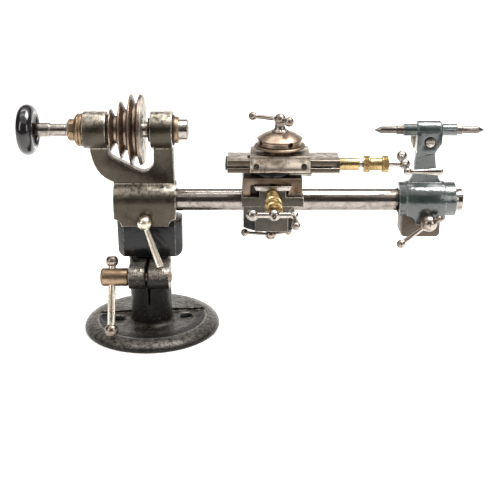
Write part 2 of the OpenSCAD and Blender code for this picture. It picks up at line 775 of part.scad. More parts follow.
module pulley_screw() {
    top = groove_r[0] - 0.4;
    color(steel) difference() {
        translate([(flange_x[0] + flange_x[1]) / 2, 0, spindle_h + journal_r])
            cylinder(r = 1.5, h = top - journal_r);
        block([flange_x[0], -0.25, spindle_h + top - 0.7], [flange_x[1], 0.25, spindle_h + top + 1]);
    }
}

module nose_ring() {
    n = nose_ring_w / 3;
    color(bronze_tone) difference() {
        turned_x([[nose_back + 0.1, 0], [nose_back + 0.1, nose_ring_r], [nose_back + n, nose_ring_r],
            [nose_back + n, nose_ring_r - 0.4], [nose_back + n + 0.3, nose_ring_r - 0.4],
            [nose_back + n + 0.3, nose_ring_r], [nose_back + 2 * n, nose_ring_r],
            [nose_front, nose_ring_r - 0.6], [nose_front, 0]], 0, spindle_h);
        rod_x(nose_seat_r, nose_back - eps, nose_front + eps, 0, spindle_h);
    }
}

module take_up_nut() {
    left = tail_shoulder - take_up_w;
    right = tail_shoulder;
    groove = left + 0.53 * take_up_w;
    color(bronze_tone) difference() {
        turned_x(concat([[left, 0], [left, take_up_r - 3.7]],
            bend([left + 0.2, take_up_r - 2.9], [left + 1.2, take_up_r - 0.1], [groove, take_up_r], 5),
            [[groove + 0.3, take_up_r - 0.9], [groove + 0.7, take_up_r - 0.9], [groove + 1, take_up_r],
            [right - 0.5, take_up_r], [right, take_up_r - 0.7], [right, 0]]), 0, spindle_h);
        rod_x(nut_r, left - eps, left + take_up_w + eps, 0, spindle_h);
    }
}

module lock_nut() {
    right = tail_shoulder - take_up_w;
    color(bronze_tone) difference() {
        intersection() {
            turned_x([[right - lock_w, 0], [right - lock_w, lock_r - 1.4],
                [right - lock_w + 1.5, lock_r + 0.3], [right - 0.9, lock_r + 0.3],
                [right, lock_r - 0.8], [right, 0]], 0, spindle_h);
            translate([right - lock_w, 0, spindle_h]) rotate([0, 90, 0])
                cylinder(r = lock_r, h = lock_w, $fn = 8);
        }
        rod_x(nut_r, right - lock_w - eps, right + eps, 0, spindle_h);
        for (a = [2, 92]) translate([0, 0, spindle_h]) rotate([a, 0, 0])
            block([right - lock_w - eps, -lock_r, -0.5], [right - lock_w + 1.8, lock_r, 0.5]);
    }
}

module dust_ring() {
    color(black_paint) difference() {
        rod_x(9, dust_x, front_barrel_in - 0.25, 0, spindle_h);
        rod_x(journal_r, dust_x - eps, front_barrel_in, 0, spindle_h);
    }
}

// Draw bar

draw_left = 1 - wheel_left;
sleeve_left = wheel_t - wheel_left - 4;
wheel_bore = 6.2;

module draw_tube() {
    right = collet_seat - 1;
    shoulder = spindle_tail - 12;
    color(steel) difference() {
        turned_x([[draw_left, 0], [draw_left, draw_r], [sleeve_left, draw_r],
            [sleeve_left, draw_sleeve_r],
            [shoulder, draw_sleeve_r], [shoulder + 0.5, nut_r - 0.5], [spindle_tail - 0.4, nut_r - 0.5],
            [spindle_tail - 0.4, draw_r], [right, draw_r], [right, 0]], 0, spindle_h);
        rod_x(2.6, draw_left - eps, right + eps, 0, spindle_h);
    }
}

module hand_wheel() {
    mid = wheel_t / 2 - wheel_left;
    rim = wheel_t / 2;
    color(black_paint) turned_x(concat([[1.6 - wheel_left, wheel_bore]],
        bend([0.9 - wheel_left, wheel_bore + 3], [-wheel_left, wheel_r - 8],
            [0.1 - wheel_left, wheel_r - 5.4], 5),
        arc([mid, wheel_r - rim], rim, 160, 12, 14),
        bend([mid + rim - 0.6, wheel_r - 7], [mid + rim - 3.4, wheel_r - 8.6],
            [mid + rim - 4.6, wheel_bore], 6)),
        0, spindle_h);
}

module wheel_ferrule() {
    left = 1.2 - wheel_left;
    right = wheel_t - wheel_left - 4;
    color(steel) difference() {
        turned_x([[left, 0], [left, wheel_bore - 0.6], [left + 0.6, wheel_bore],
            [right - 0.6, wheel_bore], [right, wheel_bore - 0.6], [right, 0]], 0, spindle_h);
        rod_x(draw_r, left - eps, right + eps, 0, spindle_h);
    }
}

// Headstock clamp

head_ball = [ecc_x, -head_r - head_ball_r - slip, ecc_h];
head_lever_lean = 14;
shaft_collar_r = 4.7;
shaft_collar_t = 1.4;
head_lever_dir = [sin(head_lever_angle) * cos(head_lever_lean), -sin(head_lever_lean),
    -cos(head_lever_angle) * cos(head_lever_lean)];

// Through shaft of an eccentric clamp, from a front collar to a head at the back
module clamp_shaft(x, half, front) {
    rod_y(ecc_r, -half - slip, half + slip, x, ecc_h);
    rod_y(shaft_collar_r, -half - slip - shaft_collar_t, -half - slip, x, ecc_h);
    rod_y(lever_stud_r, front, -half - slip, x, ecc_h);
    rod_y(5, half + slip, half + slip + 2.6, x, ecc_h);
}

module head_clamp_shaft() {
    color(steel) clamp_shaft(ecc_x, head_r, head_ball.y - 2);
}

module head_lever() {
    color(steel) difference() {
        union() {
            ball(head_ball_r, head_ball, [0, 0, 0], [0, -1, 0]);
            translate(head_ball + head_ball_r / 2 * head_lever_dir)
                rotate([0, acos(head_lever_dir.z), atan2(head_lever_dir.y, head_lever_dir.x)])
                    cylinder(r1 = head_rod_r, r2 = head_rod_end_r, h = head_lever_len - head_ball_r / 2);
        }
        rod_y(lever_stud_r, head_ball.y - 2, 0, ecc_x, ecc_h);
        rod_y(shaft_collar_r, -head_r - slip - shaft_collar_t, 0, ecc_x, ecc_h);
    }
}

// Saddle on the bed

way_under = saddle_top - way_t;
cross_axis = saddle_top + cross_axis_up;
nut_half = 3;
nut_front = -20;
nut_back = -6;
travel_in = 12;
travel_out = 15;
way_root_half = cross_way_half - 3.8;
bridge_left = -21.3;
bridge_right = 17.2;
bridge_half = 12.9;

module saddle() {
    half = saddle_len / 2;
    color(saddle_paint) translate([saddle_x, 0, 0]) difference() {
        union() {
            block([-half, -way_front, way_under], [half, way_back, saddle_top]);
            block([-way_root_half, -way_front, saddle_top - eps],
                [way_root_half, way_back, saddle_top + cross_way_h - strip_t]);
            block([bridge_left, -14, bed_h], [half, 14, way_under + eps]);
            intersection() {
                rod_x(saddle_half_w, bridge_left, bridge_right, 0, bed_h);
                block([bridge_left, -saddle_half_w, 0], [bridge_right, saddle_half_w, way_under + eps]);
            }
            plate_xz(concat([[-half, way_under + eps]],
                arc([-half, bed_h - 7.8], half - saddle_apron_half, 90, 0, 6),
                [[-saddle_apron_half, saddle_apron_h], [saddle_apron_half, saddle_apron_h]],
                arc([half, bed_h - 7.8], half - saddle_apron_half, 180, 90, 6),
                [[half, way_under + eps]]), -saddle_half_w, saddle_half_w);
        }
        rod_x(bar_r + fit, -half - eps, half + eps, 0, bed_h);
        block([-half - eps, -bridge_half - slip, saddle_apron_h - eps],
            [half + eps, bridge_half + slip, flat_h]);
        block([-nut_half - slip, nut_front - travel_out - slip, cross_axis - 3.4],
            [nut_half + slip, nut_back + travel_in + slip, saddle_top + cross_way_h]);
        rod_y(screw_r + fit, -way_front - eps, way_back - 2, 0, cross_axis);
    }
}

module saddle_shoe() {
    low = shoe_low;
    color(black_paint) translate([saddle_x, 0, 0]) difference() {
        union() {
            plate_xz([[bridge_left, flat_h - slip], [bridge_left, low + 3], [bridge_left + 9, low],
                [bridge_right - 4, low], [bridge_right, low + 2], [bridge_right, flat_h - slip]],
                -bridge_half, bridge_half);
            block([-saddle_apron_half + 1, -bridge_half - slip, low + 3],
                [saddle_apron_half - 1, bridge_half + slip, low + 9]);
        }
        translate([0, 0, low - eps]) cylinder(r = saddle_screw_r + fit, h = flat_h - low);
    }
}

module cross_way() {
    slope = 3.8 / cross_way_h;
    low_half = cross_way_half - slope * strip_t;
    top = saddle_top + cross_way_h;
    color(steel) translate([saddle_x, 0, 0]) difference() {
        plate_xz([[-low_half, top - strip_t], [low_half, top - strip_t], [cross_way_half, top],
            [-cross_way_half, top]], -way_front, way_back);
        block([-nut_half - slip, nut_front - travel_out - slip, top - strip_t - eps],
            [nut_half + slip, nut_back + travel_in + slip, top + eps]);
    }
}

shoe_low = saddle_apron_h - 1;
handle_z = shoe_low - handle_gap - handle_hub_r;
handle_rise = 1.2;

module saddle_screw() {
    color(steel) translate([saddle_x, 0, handle_z + handle_seat])
        cylinder(r = saddle_screw_r, h = flat_h - 2 * slip - handle_z - handle_seat);
}

module saddle_handle() {
    hub = [saddle_x, 0, handle_z];
    left = hub + [-handle_left, 0.05 * handle_left, handle_rise];
    right = hub + [handle_right, 0.3 * handle_right, handle_rise];
    color(steel) difference() {
        union() {
            ball(handle_hub_r, hub, [0, 0, 0], [0, 0, -1]);
            for (end = [left, right]) {
                ball(handle_ball_r, end, hub, end);
                strut(handle_arm_r, hub, end);
            }
        }
        translate(hub + [0, 0, handle_seat]) cylinder(r = 2 * handle_hub_r, h = handle_hub_r);
    }
}

// Dress of a feed screw, turned about X with its bed's end face at x = 0

dial_from = sleeve_len + dial_gap;
dial_to = dial_from + dial_len;

module bearing_sleeve() {
    color(brass_tone) difference() {
        turned_x([[0, 0], [0, sleeve_r], [sleeve_len - 0.5, sleeve_r],
            [sleeve_len, sleeve_r - 0.5], [sleeve_len, 0]]);
        rod_x(screw_r + fit, -eps, sleeve_len + eps);
    }
}

module dial() {
    band = 4.8;
    color(brass_tone) difference() {
        turned_x([[dial_from, 0], [dial_from, knurl_r - 0.4], [dial_from + 0.4, knurl_r],
            [dial_from + band - 0.4, knurl_r], [dial_from + band, knurl_r - 0.4], [dial_from + band, dial_r],
            [dial_from + 1.9 * band, dial_r], [dial_from + 1.9 * band, dial_r - 0.25],
            [dial_from + 2 * band, dial_r - 0.25], [dial_from + 2 * band, dial_r],
            [dial_to - band, dial_r], [dial_to - band, knurl_r - 0.3], [dial_to - band + 0.4, knurl_r + 0.1],
            [dial_to - 0.4, knurl_r + 0.1], [dial_to, knurl_r - 0.3], [dial_to, 0]]);
        rod_x(screw_r, dial_from - eps, dial_to + eps);
    }
}

// Ball crank about X with its hub at the origin and its small ball along +Y
module crank() {
    color(steel) difference() {
        rotate([-90, 0, 0]) union() {
            sphere(r = hub_r);
            translate([0, 0, -big_throw]) cylinder(r = crank_arm_r, h = big_throw + small_throw);
            ball(big_ball_r, [0, 0, -big_throw], [0, 0, 0], [0, 0, -1]);
            ball(small_ball_r, [0, 0, small_throw], [0, 0, 0], [0, 0, 1]);
        }
        rod_x(screw_r, -hub_r - eps, hub_r - 1.2);
        rod_x(1, 0, hub_r + eps);
        translate([0, small_throw, 0]) rod_x(1.2, 0.6 - small_ball_r, small_ball_r + eps);
    }
}

// Turned grip along X that stands in the crank's small ball
module grip() {
    waist = 1.45;
    start = small_ball_r - 0.25;
    span = grip_len - 3.6;
    color(steel) translate([0, small_throw, 0]) turned_x(concat(
        [[-small_ball_r + 0.6, 0], [-small_ball_r + 0.6, 1.2], [start, 1.2], [start, 2], [start + 0.8, 2],
        [start + 1.2, waist]],
        [for (i = [1 : 8]) let (share = i / 8)
            [start + 1.2 + span * share, waist + (grip_r - waist) * (1 - cos(180 * share)) / 2]],
        [for (a = [20 : 20 : 80]) [start + 1.2 + span + 2.4 * sin(a), grip_r * cos(a * 0.8)]],
        [[start + 3.6 + span, mark_r], [start + 3.6 + span, 0]]));
}

module at_cross_screw() {
    translate([saddle_x, -way_front, cross_axis]) rotate([0, 0, -90]) children();
}

module cross_sleeve() {
    at_cross_screw() bearing_sleeve();
}

module cross_screw() {
    color(steel) at_cross_screw() rod_x(screw_r, 4 - way_front - way_back, cross_reach + hub_r - 1.2);
}

module cross_dial() {
    at_cross_screw() dial();
}

module cross_crank() {
    at_cross_screw() translate([cross_reach, 0, 0]) crank();
}

module cross_grip() {
    at_cross_screw() translate([cross_reach, 0, 0]) grip();
}

// Cross slide

slide_low = saddle_top + 0.1;
slide_top = slide_low + cross_h;
gib_wall = cross_way_half + 2.5;
groove_clear = 8.4;
pivot_r = 4;
pivot_h = 2.6;
cross_pin_r = 2.6;

module cross_slide() {
    c = 0.3;
    top = saddle_top + cross_way_h + c;
    color([0.45, 0.38, 0.3]) difference() {
        translate([saddle_x, 0, 0]) difference() {
            block([-cross_half_len, -cross_front, slide_low], [cross_half_len, cross_back, slide_top]);
            plate_xz([[-gib_wall, slide_low - eps], [way_root_half + c, slide_low - eps],
                [cross_way_half + c, top], [-gib_wall, top]], -cross_front - eps, cross_back + eps);
            rod_y(groove_clear, -cross_front - eps, cross_back + eps, 0, cross_axis);
            translate([0, (nut_front + nut_back) / 2, cross_axis]) cylinder(r = cross_pin_r, h = 10.5);
        }
        translate([saddle_x, -top_y, slide_top - pivot_h - eps]) cylinder(r = pivot_r + fit, h = 10);
    }
}

module cross_gib() {
    c = 0.15;
    top = saddle_top + cross_way_h + c;
    color(steel) translate([saddle_x, 0, 0])
        plate_xz([[-gib_wall, slide_low + 0.1], [-way_root_half - 2 * c, slide_low + 0.1],
            [-cross_way_half - c, top], [-gib_wall, top]], 2.5 - cross_front, cross_back - 2);
}

module cross_nut() {
    mid = (nut_front + nut_back) / 2;
    color(brass_tone) translate([saddle_x, 0, 0]) difference() {
        union() {
            block([-nut_half, nut_front, cross_axis - 3.1], [nut_half, nut_back, cross_axis + 6]);
            translate([0, mid, cross_axis]) cylinder(r = cross_pin_r, h = 10.4);
        }
        rod_y(screw_r + fit, nut_front - eps, nut_back + eps, 0, cross_axis);
    }
}

// Top slide

disc_low = slide_top + 0.05;
bed_low = disc_low + disc_t;
plate_top = bed_low + top_plate_t;
way_top = plate_top + top_way_h;
top_axis = bed_low + top_axis_up;
top_right = top_left + top_len;
top_root_half = top_way_half - top_slot_deep;
slot_top = plate_top + top_slot_h;
top_nut_x = [carriage_left + 14, carriage_left + 27];
top_travel = 15;
nut_pin_x = top_nut_x[0] + 2;
nut_pin_r = 1.6;
nut_pin_h = 2.5;
end_len = 6;

module swivel_disc() {
    color(gunmetal) translate([saddle_x, -top_y, 0]) {
        translate([0, 0, disc_low]) cylinder(r = disc_r, h = disc_t);
        translate([0, 0, slide_top - pivot_h]) cylinder(r = pivot_r, h = pivot_h + disc_t);
    }
}

module top_bed() {
    color(steel) translate([0, -top_y, 0]) difference() {
        union() {
            plate_yz([[-top_plate_half, bed_low], [top_plate_half, bed_low], [top_plate_half, plate_top],
                [top_root_half, plate_top], [top_root_half, slot_top], [top_way_half, slot_top],
                [top_way_half, way_top], [-top_way_half, way_top], [-top_way_half, slot_top],
                [-top_root_half, slot_top], [-top_root_half, plate_top], [-top_plate_half, plate_top]],
                top_left, top_right);
            block([top_right - end_len, -top_way_half, plate_top - eps], [top_right, top_way_half, way_top]);
        }
        block([top_nut_x[0] - top_travel - 1, -nut_half - slip, top_axis - 2.6],
            [top_nut_x[1] + top_travel + 1, nut_half + slip, way_top + eps]);
        rod_x(screw_r + fit, top_left - eps, top_right + eps, 0, top_axis);
    }
}

module bed_end_plate() {
    x = top_left;
    color(gunmetal) difference() {
        union() {
            rod_x(4.6, x - 1.5, x, -top_y, top_axis + 1.2);
            rod_x(3.2, x - 1.5, x, -top_y - 6.6, top_axis + 0.6);
            rod_x(3.2, x - 1.5, x, -top_y + 6.6, top_axis + 0.6);
        }
        rod_x(screw_r + fit, x - 2, x + eps, -top_y, top_axis);
    }
}

module swivel_clamp() {
    y = -top_y - 7;
    color(steel) difference() {
        block([saddle_x + 12, y - 4, disc_low + 0.15], [saddle_x + 28, y + 4, bed_low - 0.2]);
        translate([saddle_x, -top_y, 0]) cylinder(r = disc_r, h = 2 * bed_h);
        translate([saddle_x + 23.5, y, disc_low - eps]) cylinder(r = 1.7, h = disc_t + 1);
    }
}

module at_top_screw() {
    translate([top_right, -top_y, top_axis]) children();
}

top_turn = 188;

module top_sleeve() {
    at_top_screw() bearing_sleeve();
}

module top_screw() {
    color(steel) at_top_screw() rod_x(screw_r, -top_len - 1, top_reach + hub_r - 1.2);
}

module top_dial() {
    at_top_screw() dial();
}

module top_crank() {
    at_top_screw() translate([top_reach, 0, 0]) rotate([top_turn, 0, 0]) crank();
}

module top_grip() {
    at_top_screw() translate([top_reach, 0, 0]) rotate([top_turn, 0, 0]) grip();
}

// Carriage and tool clamp

carriage_right = carriage_left + carriage_len;
carriage_mid = (carriage_left + carriage_right) / 2;
carriage_low = bed_low + 1;
carriage_top = way_top + 0.15 + carriage_roof;
gib_x = [carriage_left + 4.4, carriage_right - 4.4];
gib_z = carriage_low + 4.6;
gib_screw_r = 1.7;
gib_hole_r = 2.1;
gib_sunk = 0.5;
gib_back = top_plate_half + slip;

module carriage() {
    w = carriage_half_w;
    c = 0.15;
    color(steel) difference() {
        translate([0, -top_y, 0]) plate_yz([[-w, carriage_low], [-gib_back, carriage_low],
            [-gib_back, way_top + c], [top_way_half + c, way_top + c], [top_way_half + c, slot_top - c],
            [top_root_half + c, slot_top - c], [top_root_half + c, plate_top + c],
            [gib_back, plate_top + c], [gib_back, carriage_low], [w, carriage_low], [w, carriage_top],
            [-w, carriage_top]], carriage_left, carriage_right);
        for (x = gib_x) {
            rod_y(gib_hole_r, -top_y - w - eps, 1.5 - top_y - w, x, gib_z);
            rod_y(gib_screw_r, -top_y - w, -top_y - gib_back + eps, x, gib_z);
        }
        translate([carriage_mid, -top_y, way_top]) cylinder(r = stud_r, h = 10);
        translate([nut_pin_x, -top_y, way_top]) cylinder(r = nut_pin_r, h = nut_pin_h + 0.1);
    }
}

module carriage_gib() {
    c = 0.15;
    color(gunmetal) translate([0, -top_y, 0]) plate_yz([[-gib_back, plate_top + c], [-gib_back, way_top],
        [-top_way_half - c, way_top], [-top_way_half - c, slot_top - c], [-top_root_half - c, slot_top - c],
        [-top_root_half - c, plate_top + c]], carriage_left + 0.6, carriage_right - 0.6);
}

module gib_screws() {
    face = gib_sunk - top_y - carriage_half_w;
    color(gunmetal) for (x = gib_x) difference() {
        rod_y(gib_screw_r, face, -top_y - gib_back, x, gib_z);
        translate([x, 0, gib_z]) rotate([0, 30, 0])
            block([-gib_hole_r, face - 1, -0.3], [gib_hole_r, face + 0.6, 0.3]);
    }
}

module top_nut() {
    color(brass_tone) translate([0, -top_y, 0]) difference() {
        union() {
            block([top_nut_x[0], -nut_half, top_axis - 2.4], [top_nut_x[1] - 5, nut_half, way_top + 0.15]);
            translate([nut_pin_x, 0, top_axis + 3])
                cylinder(r = nut_pin_r, h = way_top + nut_pin_h - top_axis - 3);
        }
        rod_x(screw_r + fit, top_nut_x[0] - eps, top_nut_x[1], 0, top_axis);
    }
}

ring_top = carriage_top + pedestal_h + ring_h;

module clamp_ring() {
    top = pedestal_h + ring_h;
    color(bronze_tone) translate([carriage_mid, -top_y, carriage_top])
        rotate_extrude() polygon([[stud_r, 0], [pedestal_r, 0], [pedestal_r, pedestal_h],
            [ring_r - 0.5, pedestal_h], [ring_r, pedestal_h + 0.5], [ring_r, top - 0.6],
            [ring_r - 0.8, top], [stud_r, top]]);
}

disc_base = ring_top + 0.1;
disc_rim = disc_base + clamp_disc_h;
disc_crown = disc_rim + clamp_dome_h;
handle_hub = [carriage_mid, -top_y, disc_crown + hub_lift];

module clamp_stud() {
    color(steel) translate([carriage_mid, -top_y, way_top + 0.5])
        cylinder(r = stud_r, h = handle_hub.z - way_top - 1.2);
}

module clamp_disc() {
    r = clamp_disc_r;
    rim = clamp_disc_h;
    crown = clamp_disc_h + clamp_dome_h;
    color(steel) difference() {
        translate([carriage_mid, -top_y, disc_base]) rotate_extrude() polygon(concat(
            [[stud_r + fit, 0], [r - 0.5, 0], [r, 0.4], [r - 0.5, rim - 1.8], [r - 0.3, rim - 1.1],
            [r + 0.6, rim - 0.3], [r + 0.5, rim + 0.2]],
            bend([r - 0.2, rim + 0.5], [r - 5, crown - 0.8], [6.6, crown], 6),
            [[stud_r + fit, crown]]));
        for (a = [27 : 90 : 360])
            translate([carriage_mid, -top_y, disc_base + tool_hole_r + 0.3]) rotate([0, 0, a])
                rod_y(tool_hole_r, -r - 1, -r + 5);
    }
}

module clamp_handle() {
    hub = handle_hub;
    far_turn = 165.5;
    near_turn = -56.3;
    far = hub + clamp_far * [cos(far_turn), sin(far_turn), 0.06];
    near = hub + clamp_near * [cos(near_turn), sin(near_turn), 0];
    stem = hub.z - disc_crown - 0.1;
    color(steel) difference() {
        union() {
            translate([hub.x, hub.y, disc_crown + 0.1]) rotate_extrude()
                polygon([[0, 0], [stem_foot_r, 0], [stem_foot_r, 0.7], [stem_r + 1.2, 1.1],
                    [stem_r + 0.4, 2.2], [stem_r, 4], [stem_r, stem], [0, stem]]);
            ball(clamp_hub_r, hub, [0, 0, 0], [0, 0, 1]);
            ball(clamp_far_r, far, hub, far);
            ball(clamp_near_r, near, hub, near);
            strut(clamp_arm_r, hub, far);
            strut(clamp_arm_r, hub, near);
        }
        translate([hub.x, hub.y, disc_crown - eps]) cylinder(r = stud_r + fit, h = stem);
    }
}

// Tailstock

tail_left = tail_x - tail_len / 2;
tail_right = tail_x + tail_len / 2;
block_l = tail_x - 8.6;
block_r = tail_x + 10;
quill_left = tail_x - 18.3;
quill_right = tail_x + 21.4;
lock_x = tail_x + 1;
lock_z = spindle_h - 8;
tail_lock_r = 2.6;
tail_ecc_x = tail_x + 1.1;

module tailstock() {
    neck_top = spindle_h - neck_drop;
    waist_z = bed_h + 29;
    foot_z = bed_h + 14;
    color(green_paint) difference() {
        union() {
            plate_xz(concat(
                bend([tail_left - 0.8, foot_z - 3], [block_l + 0.4, foot_z + 3], [block_l - 0.3, waist_z], 6),
                [[block_l + 0.5, neck_top], [block_r - 4.2, neck_top]],
                bend([block_r - 3, waist_z], [block_r - 2, foot_z + 3],
                    [tail_right + 0.6, foot_z - 3], 6)),
                -neck_half, neck_half);
            plate_xz([[block_l, neck_top + 2.4], [block_l + 0.5, neck_top - 0.6],
                [block_r - 4.4, neck_top - 0.6],
                [block_r - 4, neck_top + 1.2], [block_r, neck_top + 7], [block_r, spindle_h],
                [block_l, spindle_h]], -runner_block_half, runner_block_half);
            turned_x([[block_l, 0], [block_l, runner_block_half - 0.6], [block_l + 0.6, runner_block_half],
                [block_r - 1.4, runner_block_half], [block_r, runner_block_half - 1.4], [block_r, 0]],
                0, spindle_h);
            rod_x(quill_r, quill_left, quill_right, 0, spindle_h);
            rod_x(tail_r, tail_left, tail_right, 0, bed_h);
            rod_x(tail_r - 0.9, tail_left - collar_left_len, tail_right + collar_right_len, 0, bed_h);
            block([tail_left, -tail_r, tail_apron_h], [tail_right, tail_r, bed_h]);
        }
        rod_x(bar_r + fit, tail_left - collar_left_len - eps, tail_right + collar_right_len + eps, 0, bed_h);
        block([tail_left - tail_len, -tail_shoe_half - slip, tail_apron_h - eps],
            [tail_right + tail_len, tail_shoe_half + slip, flat_h]);
        rod_x(runner_r + fit, quill_left - eps, quill_right + eps, 0, spindle_h);
        rod_y(7, -tail_r - eps, tail_r + eps, tail_left, tail_apron_h);
        rod_y(4, -tail_r - eps, tail_r + eps, tail_right, tail_apron_h);
        rod_y(ecc_r + fit, -tail_r - eps, tail_r + eps, tail_ecc_x, ecc_h);
        rod_y(tail_lock_r + fit, -tail_r, tail_r, lock_x, lock_z);
        rod_y(4.2, -runner_block_half - eps, 2.4 - runner_block_half, lock_x, lock_z);
    }
}

module tail_shoe() {
    left = tail_left - tail_shoe_out;
    right = tail_right - tail_shoe_in;
    low = tail_apron_h - tail_shoe_drop;
    color([0.4, 0.34, 0.28]) difference() {
        plate_xz([[left, flat_h - slip], [left, low + 2], [left + 2, low], [right - 2, low], [right, low + 2],
            [right, flat_h - slip]], -tail_shoe_half, tail_shoe_half);
        rod_y(ecc_r + fit, -tail_r, tail_r, tail_ecc_x, ecc_h);
    }
}

module tail_runner() {
    half = runner_mid_len / 2;
    mid = (quill_left + quill_right) / 2 - 0.6;
    tip = half + runner_end_len;
    cone = 5;
    blunt = 0.15;
    color(steel) turned_x([
        [mid - tip, 0], [mid - tip, blunt], [mid - tip + cone, runner_end_r],
        [mid - half - 0.6, runner_end_r],
        [mid - half, runner_r], [mid + half, runner_r], [mid + half + 0.6, runner_end_r],
        [mid + tip - cone, runner_end_r], [mid + tip, blunt], [mid + tip, 0]], 0, spindle_h);
}

module tail_lock_screw() {
    face = -runner_block_half;
    color(steel) difference() {
        union() {
            rod_y(3.4, face - 0.7, face + 2.2, lock_x, lock_z);
            rod_y(tail_lock_r, face + 2, runner_block_half + 6, lock_x, lock_z);
        }
        block([lock_x - 4, face - 2, lock_z - 0.35], [lock_x + 4, face + 0.1, lock_z + 0.35]);
    }
}

module tail_lock_lever() {
    y0 = runner_block_half + slip;
    color(steel) difference() {
        union() {
            rod_y(4.4, y0, y0 + 5, lock_x, lock_z);
            plate_xz(concat(
                bend([lock_x - 2, lock_z + 3.6], [block_l - 3.6, lock_z + 4.4], [block_l - 2.2, lock_z - 3]),
                [[block_l + 1.4, lock_z - 10.5], [block_l + 2.6, lock_z - 10.1]],
                bend([block_l + 0.5, lock_z - 3], [block_l - 0.4, lock_z + 1.6], [lock_x - 2, lock_z - 2])),
                y0 + 1, y0 + 4);
        }
        rod_y(tail_lock_r, 0, 2 * tail_r, lock_x, lock_z);
    }
}

tail_ball = [tail_ecc_x, -tail_r - tail_ball_r - 0.4, ecc_h];

module tail_clamp_shaft() {
    color(steel) clamp_shaft(tail_ecc_x, tail_r, tail_ball.y - 2);
}

module tail_lever() {
    low = tail_ball + tail_arm * [-0.8, -0.14, -0.584];
    high = tail_ball + tail_stub * [0.916, 0.048, 0.386];
    color(steel) difference() {
        union() {
            ball(tail_ball_r, tail_ball, [0, 0, 0], [0, -1, 0]);
            ball(tail_arm_r, low, tail_ball, low);
            ball(tail_stub_r, high, tail_ball, high);
            strut(tail_rod_r, tail_ball, low);
            strut(tail_rod_r, tail_ball, high);
        }
        rod_y(lever_stud_r, tail_ball.y - 2, 0, tail_ecc_x, ecc_h);
        rod_y(shaft_collar_r, -tail_r - slip - shaft_collar_t, 0, tail_ecc_x, ecc_h);
    }
}

foot();
foot_block();
bed_bar();
headstock();
front_bush();
rear_bush();
spindle();
cone_pulley();
index_plate();
pulley_screw();
nose_ring();
take_up_nut();
lock_nut();
dust_ring();
draw_tube();
hand_wheel();
wheel_ferrule();
head_clamp_shaft();
head_lever();
pillar_screw();
tommy_bar();
tommy_balls();
saddle();
saddle_shoe();
cross_way();
cross_sleeve();
saddle_screw();
saddle_handle();
cross_screw();
cross_dial();
cross_crank();
cross_grip();
cross_slide();
cross_gib();
cross_nut();
swivel_disc();
top_bed();
bed_end_plate();
swivel_clamp();
top_sleeve();
carriage();
carriage_gib();
gib_screws();
top_nut();
clamp_ring();
clamp_stud();
top_screw();
top_dial();
top_crank();
top_grip();
clamp_disc();
clamp_handle();
tailstock();
tail_shoe();
tail_runner();
tail_lock_screw();
tail_lock_lever();
tail_clamp_shaft();
tail_lever();
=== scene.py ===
import json
from math import asin, cos, pi, radians, sin

import bmesh
import bpy
from mathutils import Matrix, Vector


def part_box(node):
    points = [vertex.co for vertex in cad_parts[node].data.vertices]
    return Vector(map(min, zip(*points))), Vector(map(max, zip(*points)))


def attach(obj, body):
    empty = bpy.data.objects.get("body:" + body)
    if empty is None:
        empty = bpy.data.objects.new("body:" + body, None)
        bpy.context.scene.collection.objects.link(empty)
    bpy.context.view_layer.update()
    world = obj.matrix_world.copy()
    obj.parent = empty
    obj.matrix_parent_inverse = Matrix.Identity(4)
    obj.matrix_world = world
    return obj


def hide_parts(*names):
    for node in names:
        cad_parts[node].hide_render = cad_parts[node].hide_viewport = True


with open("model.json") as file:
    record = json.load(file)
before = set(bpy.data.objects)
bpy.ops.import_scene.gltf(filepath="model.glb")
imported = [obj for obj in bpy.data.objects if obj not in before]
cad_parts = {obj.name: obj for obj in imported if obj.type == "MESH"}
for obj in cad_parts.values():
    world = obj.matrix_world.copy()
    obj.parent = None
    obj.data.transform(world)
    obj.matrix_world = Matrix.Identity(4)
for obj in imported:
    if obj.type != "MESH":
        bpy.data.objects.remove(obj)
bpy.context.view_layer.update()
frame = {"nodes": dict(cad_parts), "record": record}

NODES = frame["nodes"]
BODY_OF = {n: b for b, names in frame["record"]["behaviour"]["bodies"].items() for n in names}


def mm(*values):
    """Millimetres to metres: one number, or a Vector of several."""
    if len(values) == 1:
        return values[0] / 1000
    return Vector([v / 1000 for v in values])


# Materials

# Grain of the patterns and depth of the marks on steel, in millimetres
STEEL_CLOUD, STEEL_SPECK, TOOL_MARK = 7, 0.9, 0.45
PIT_DEPTH, MARK_DEPTH = 0.012, 0.02
# Grain of the patterns on enamel, in millimetres
ENAMEL_CLOUD, RUBBED_PATCH = 12, 3.2
COAT_ROUGHNESS = 0.1
# Near-black colour of the painted shade in the foot's recess, bolt holes, slit and column
PAINTED_SHADE_BLACK = (0.006, 0.006, 0.005)
# The foot, in millimetres: its recess, bolt holes and column, and the turn that it stands at
RECESS_R, LIP_W = 41.9, 1.0
BOLT_X, BOLT_Y, SINK_R = 27, 2.5, 5.4
COLUMN_R, SLIT_HALF = 16.6, 1.6
FOOT_TURN = radians(6)


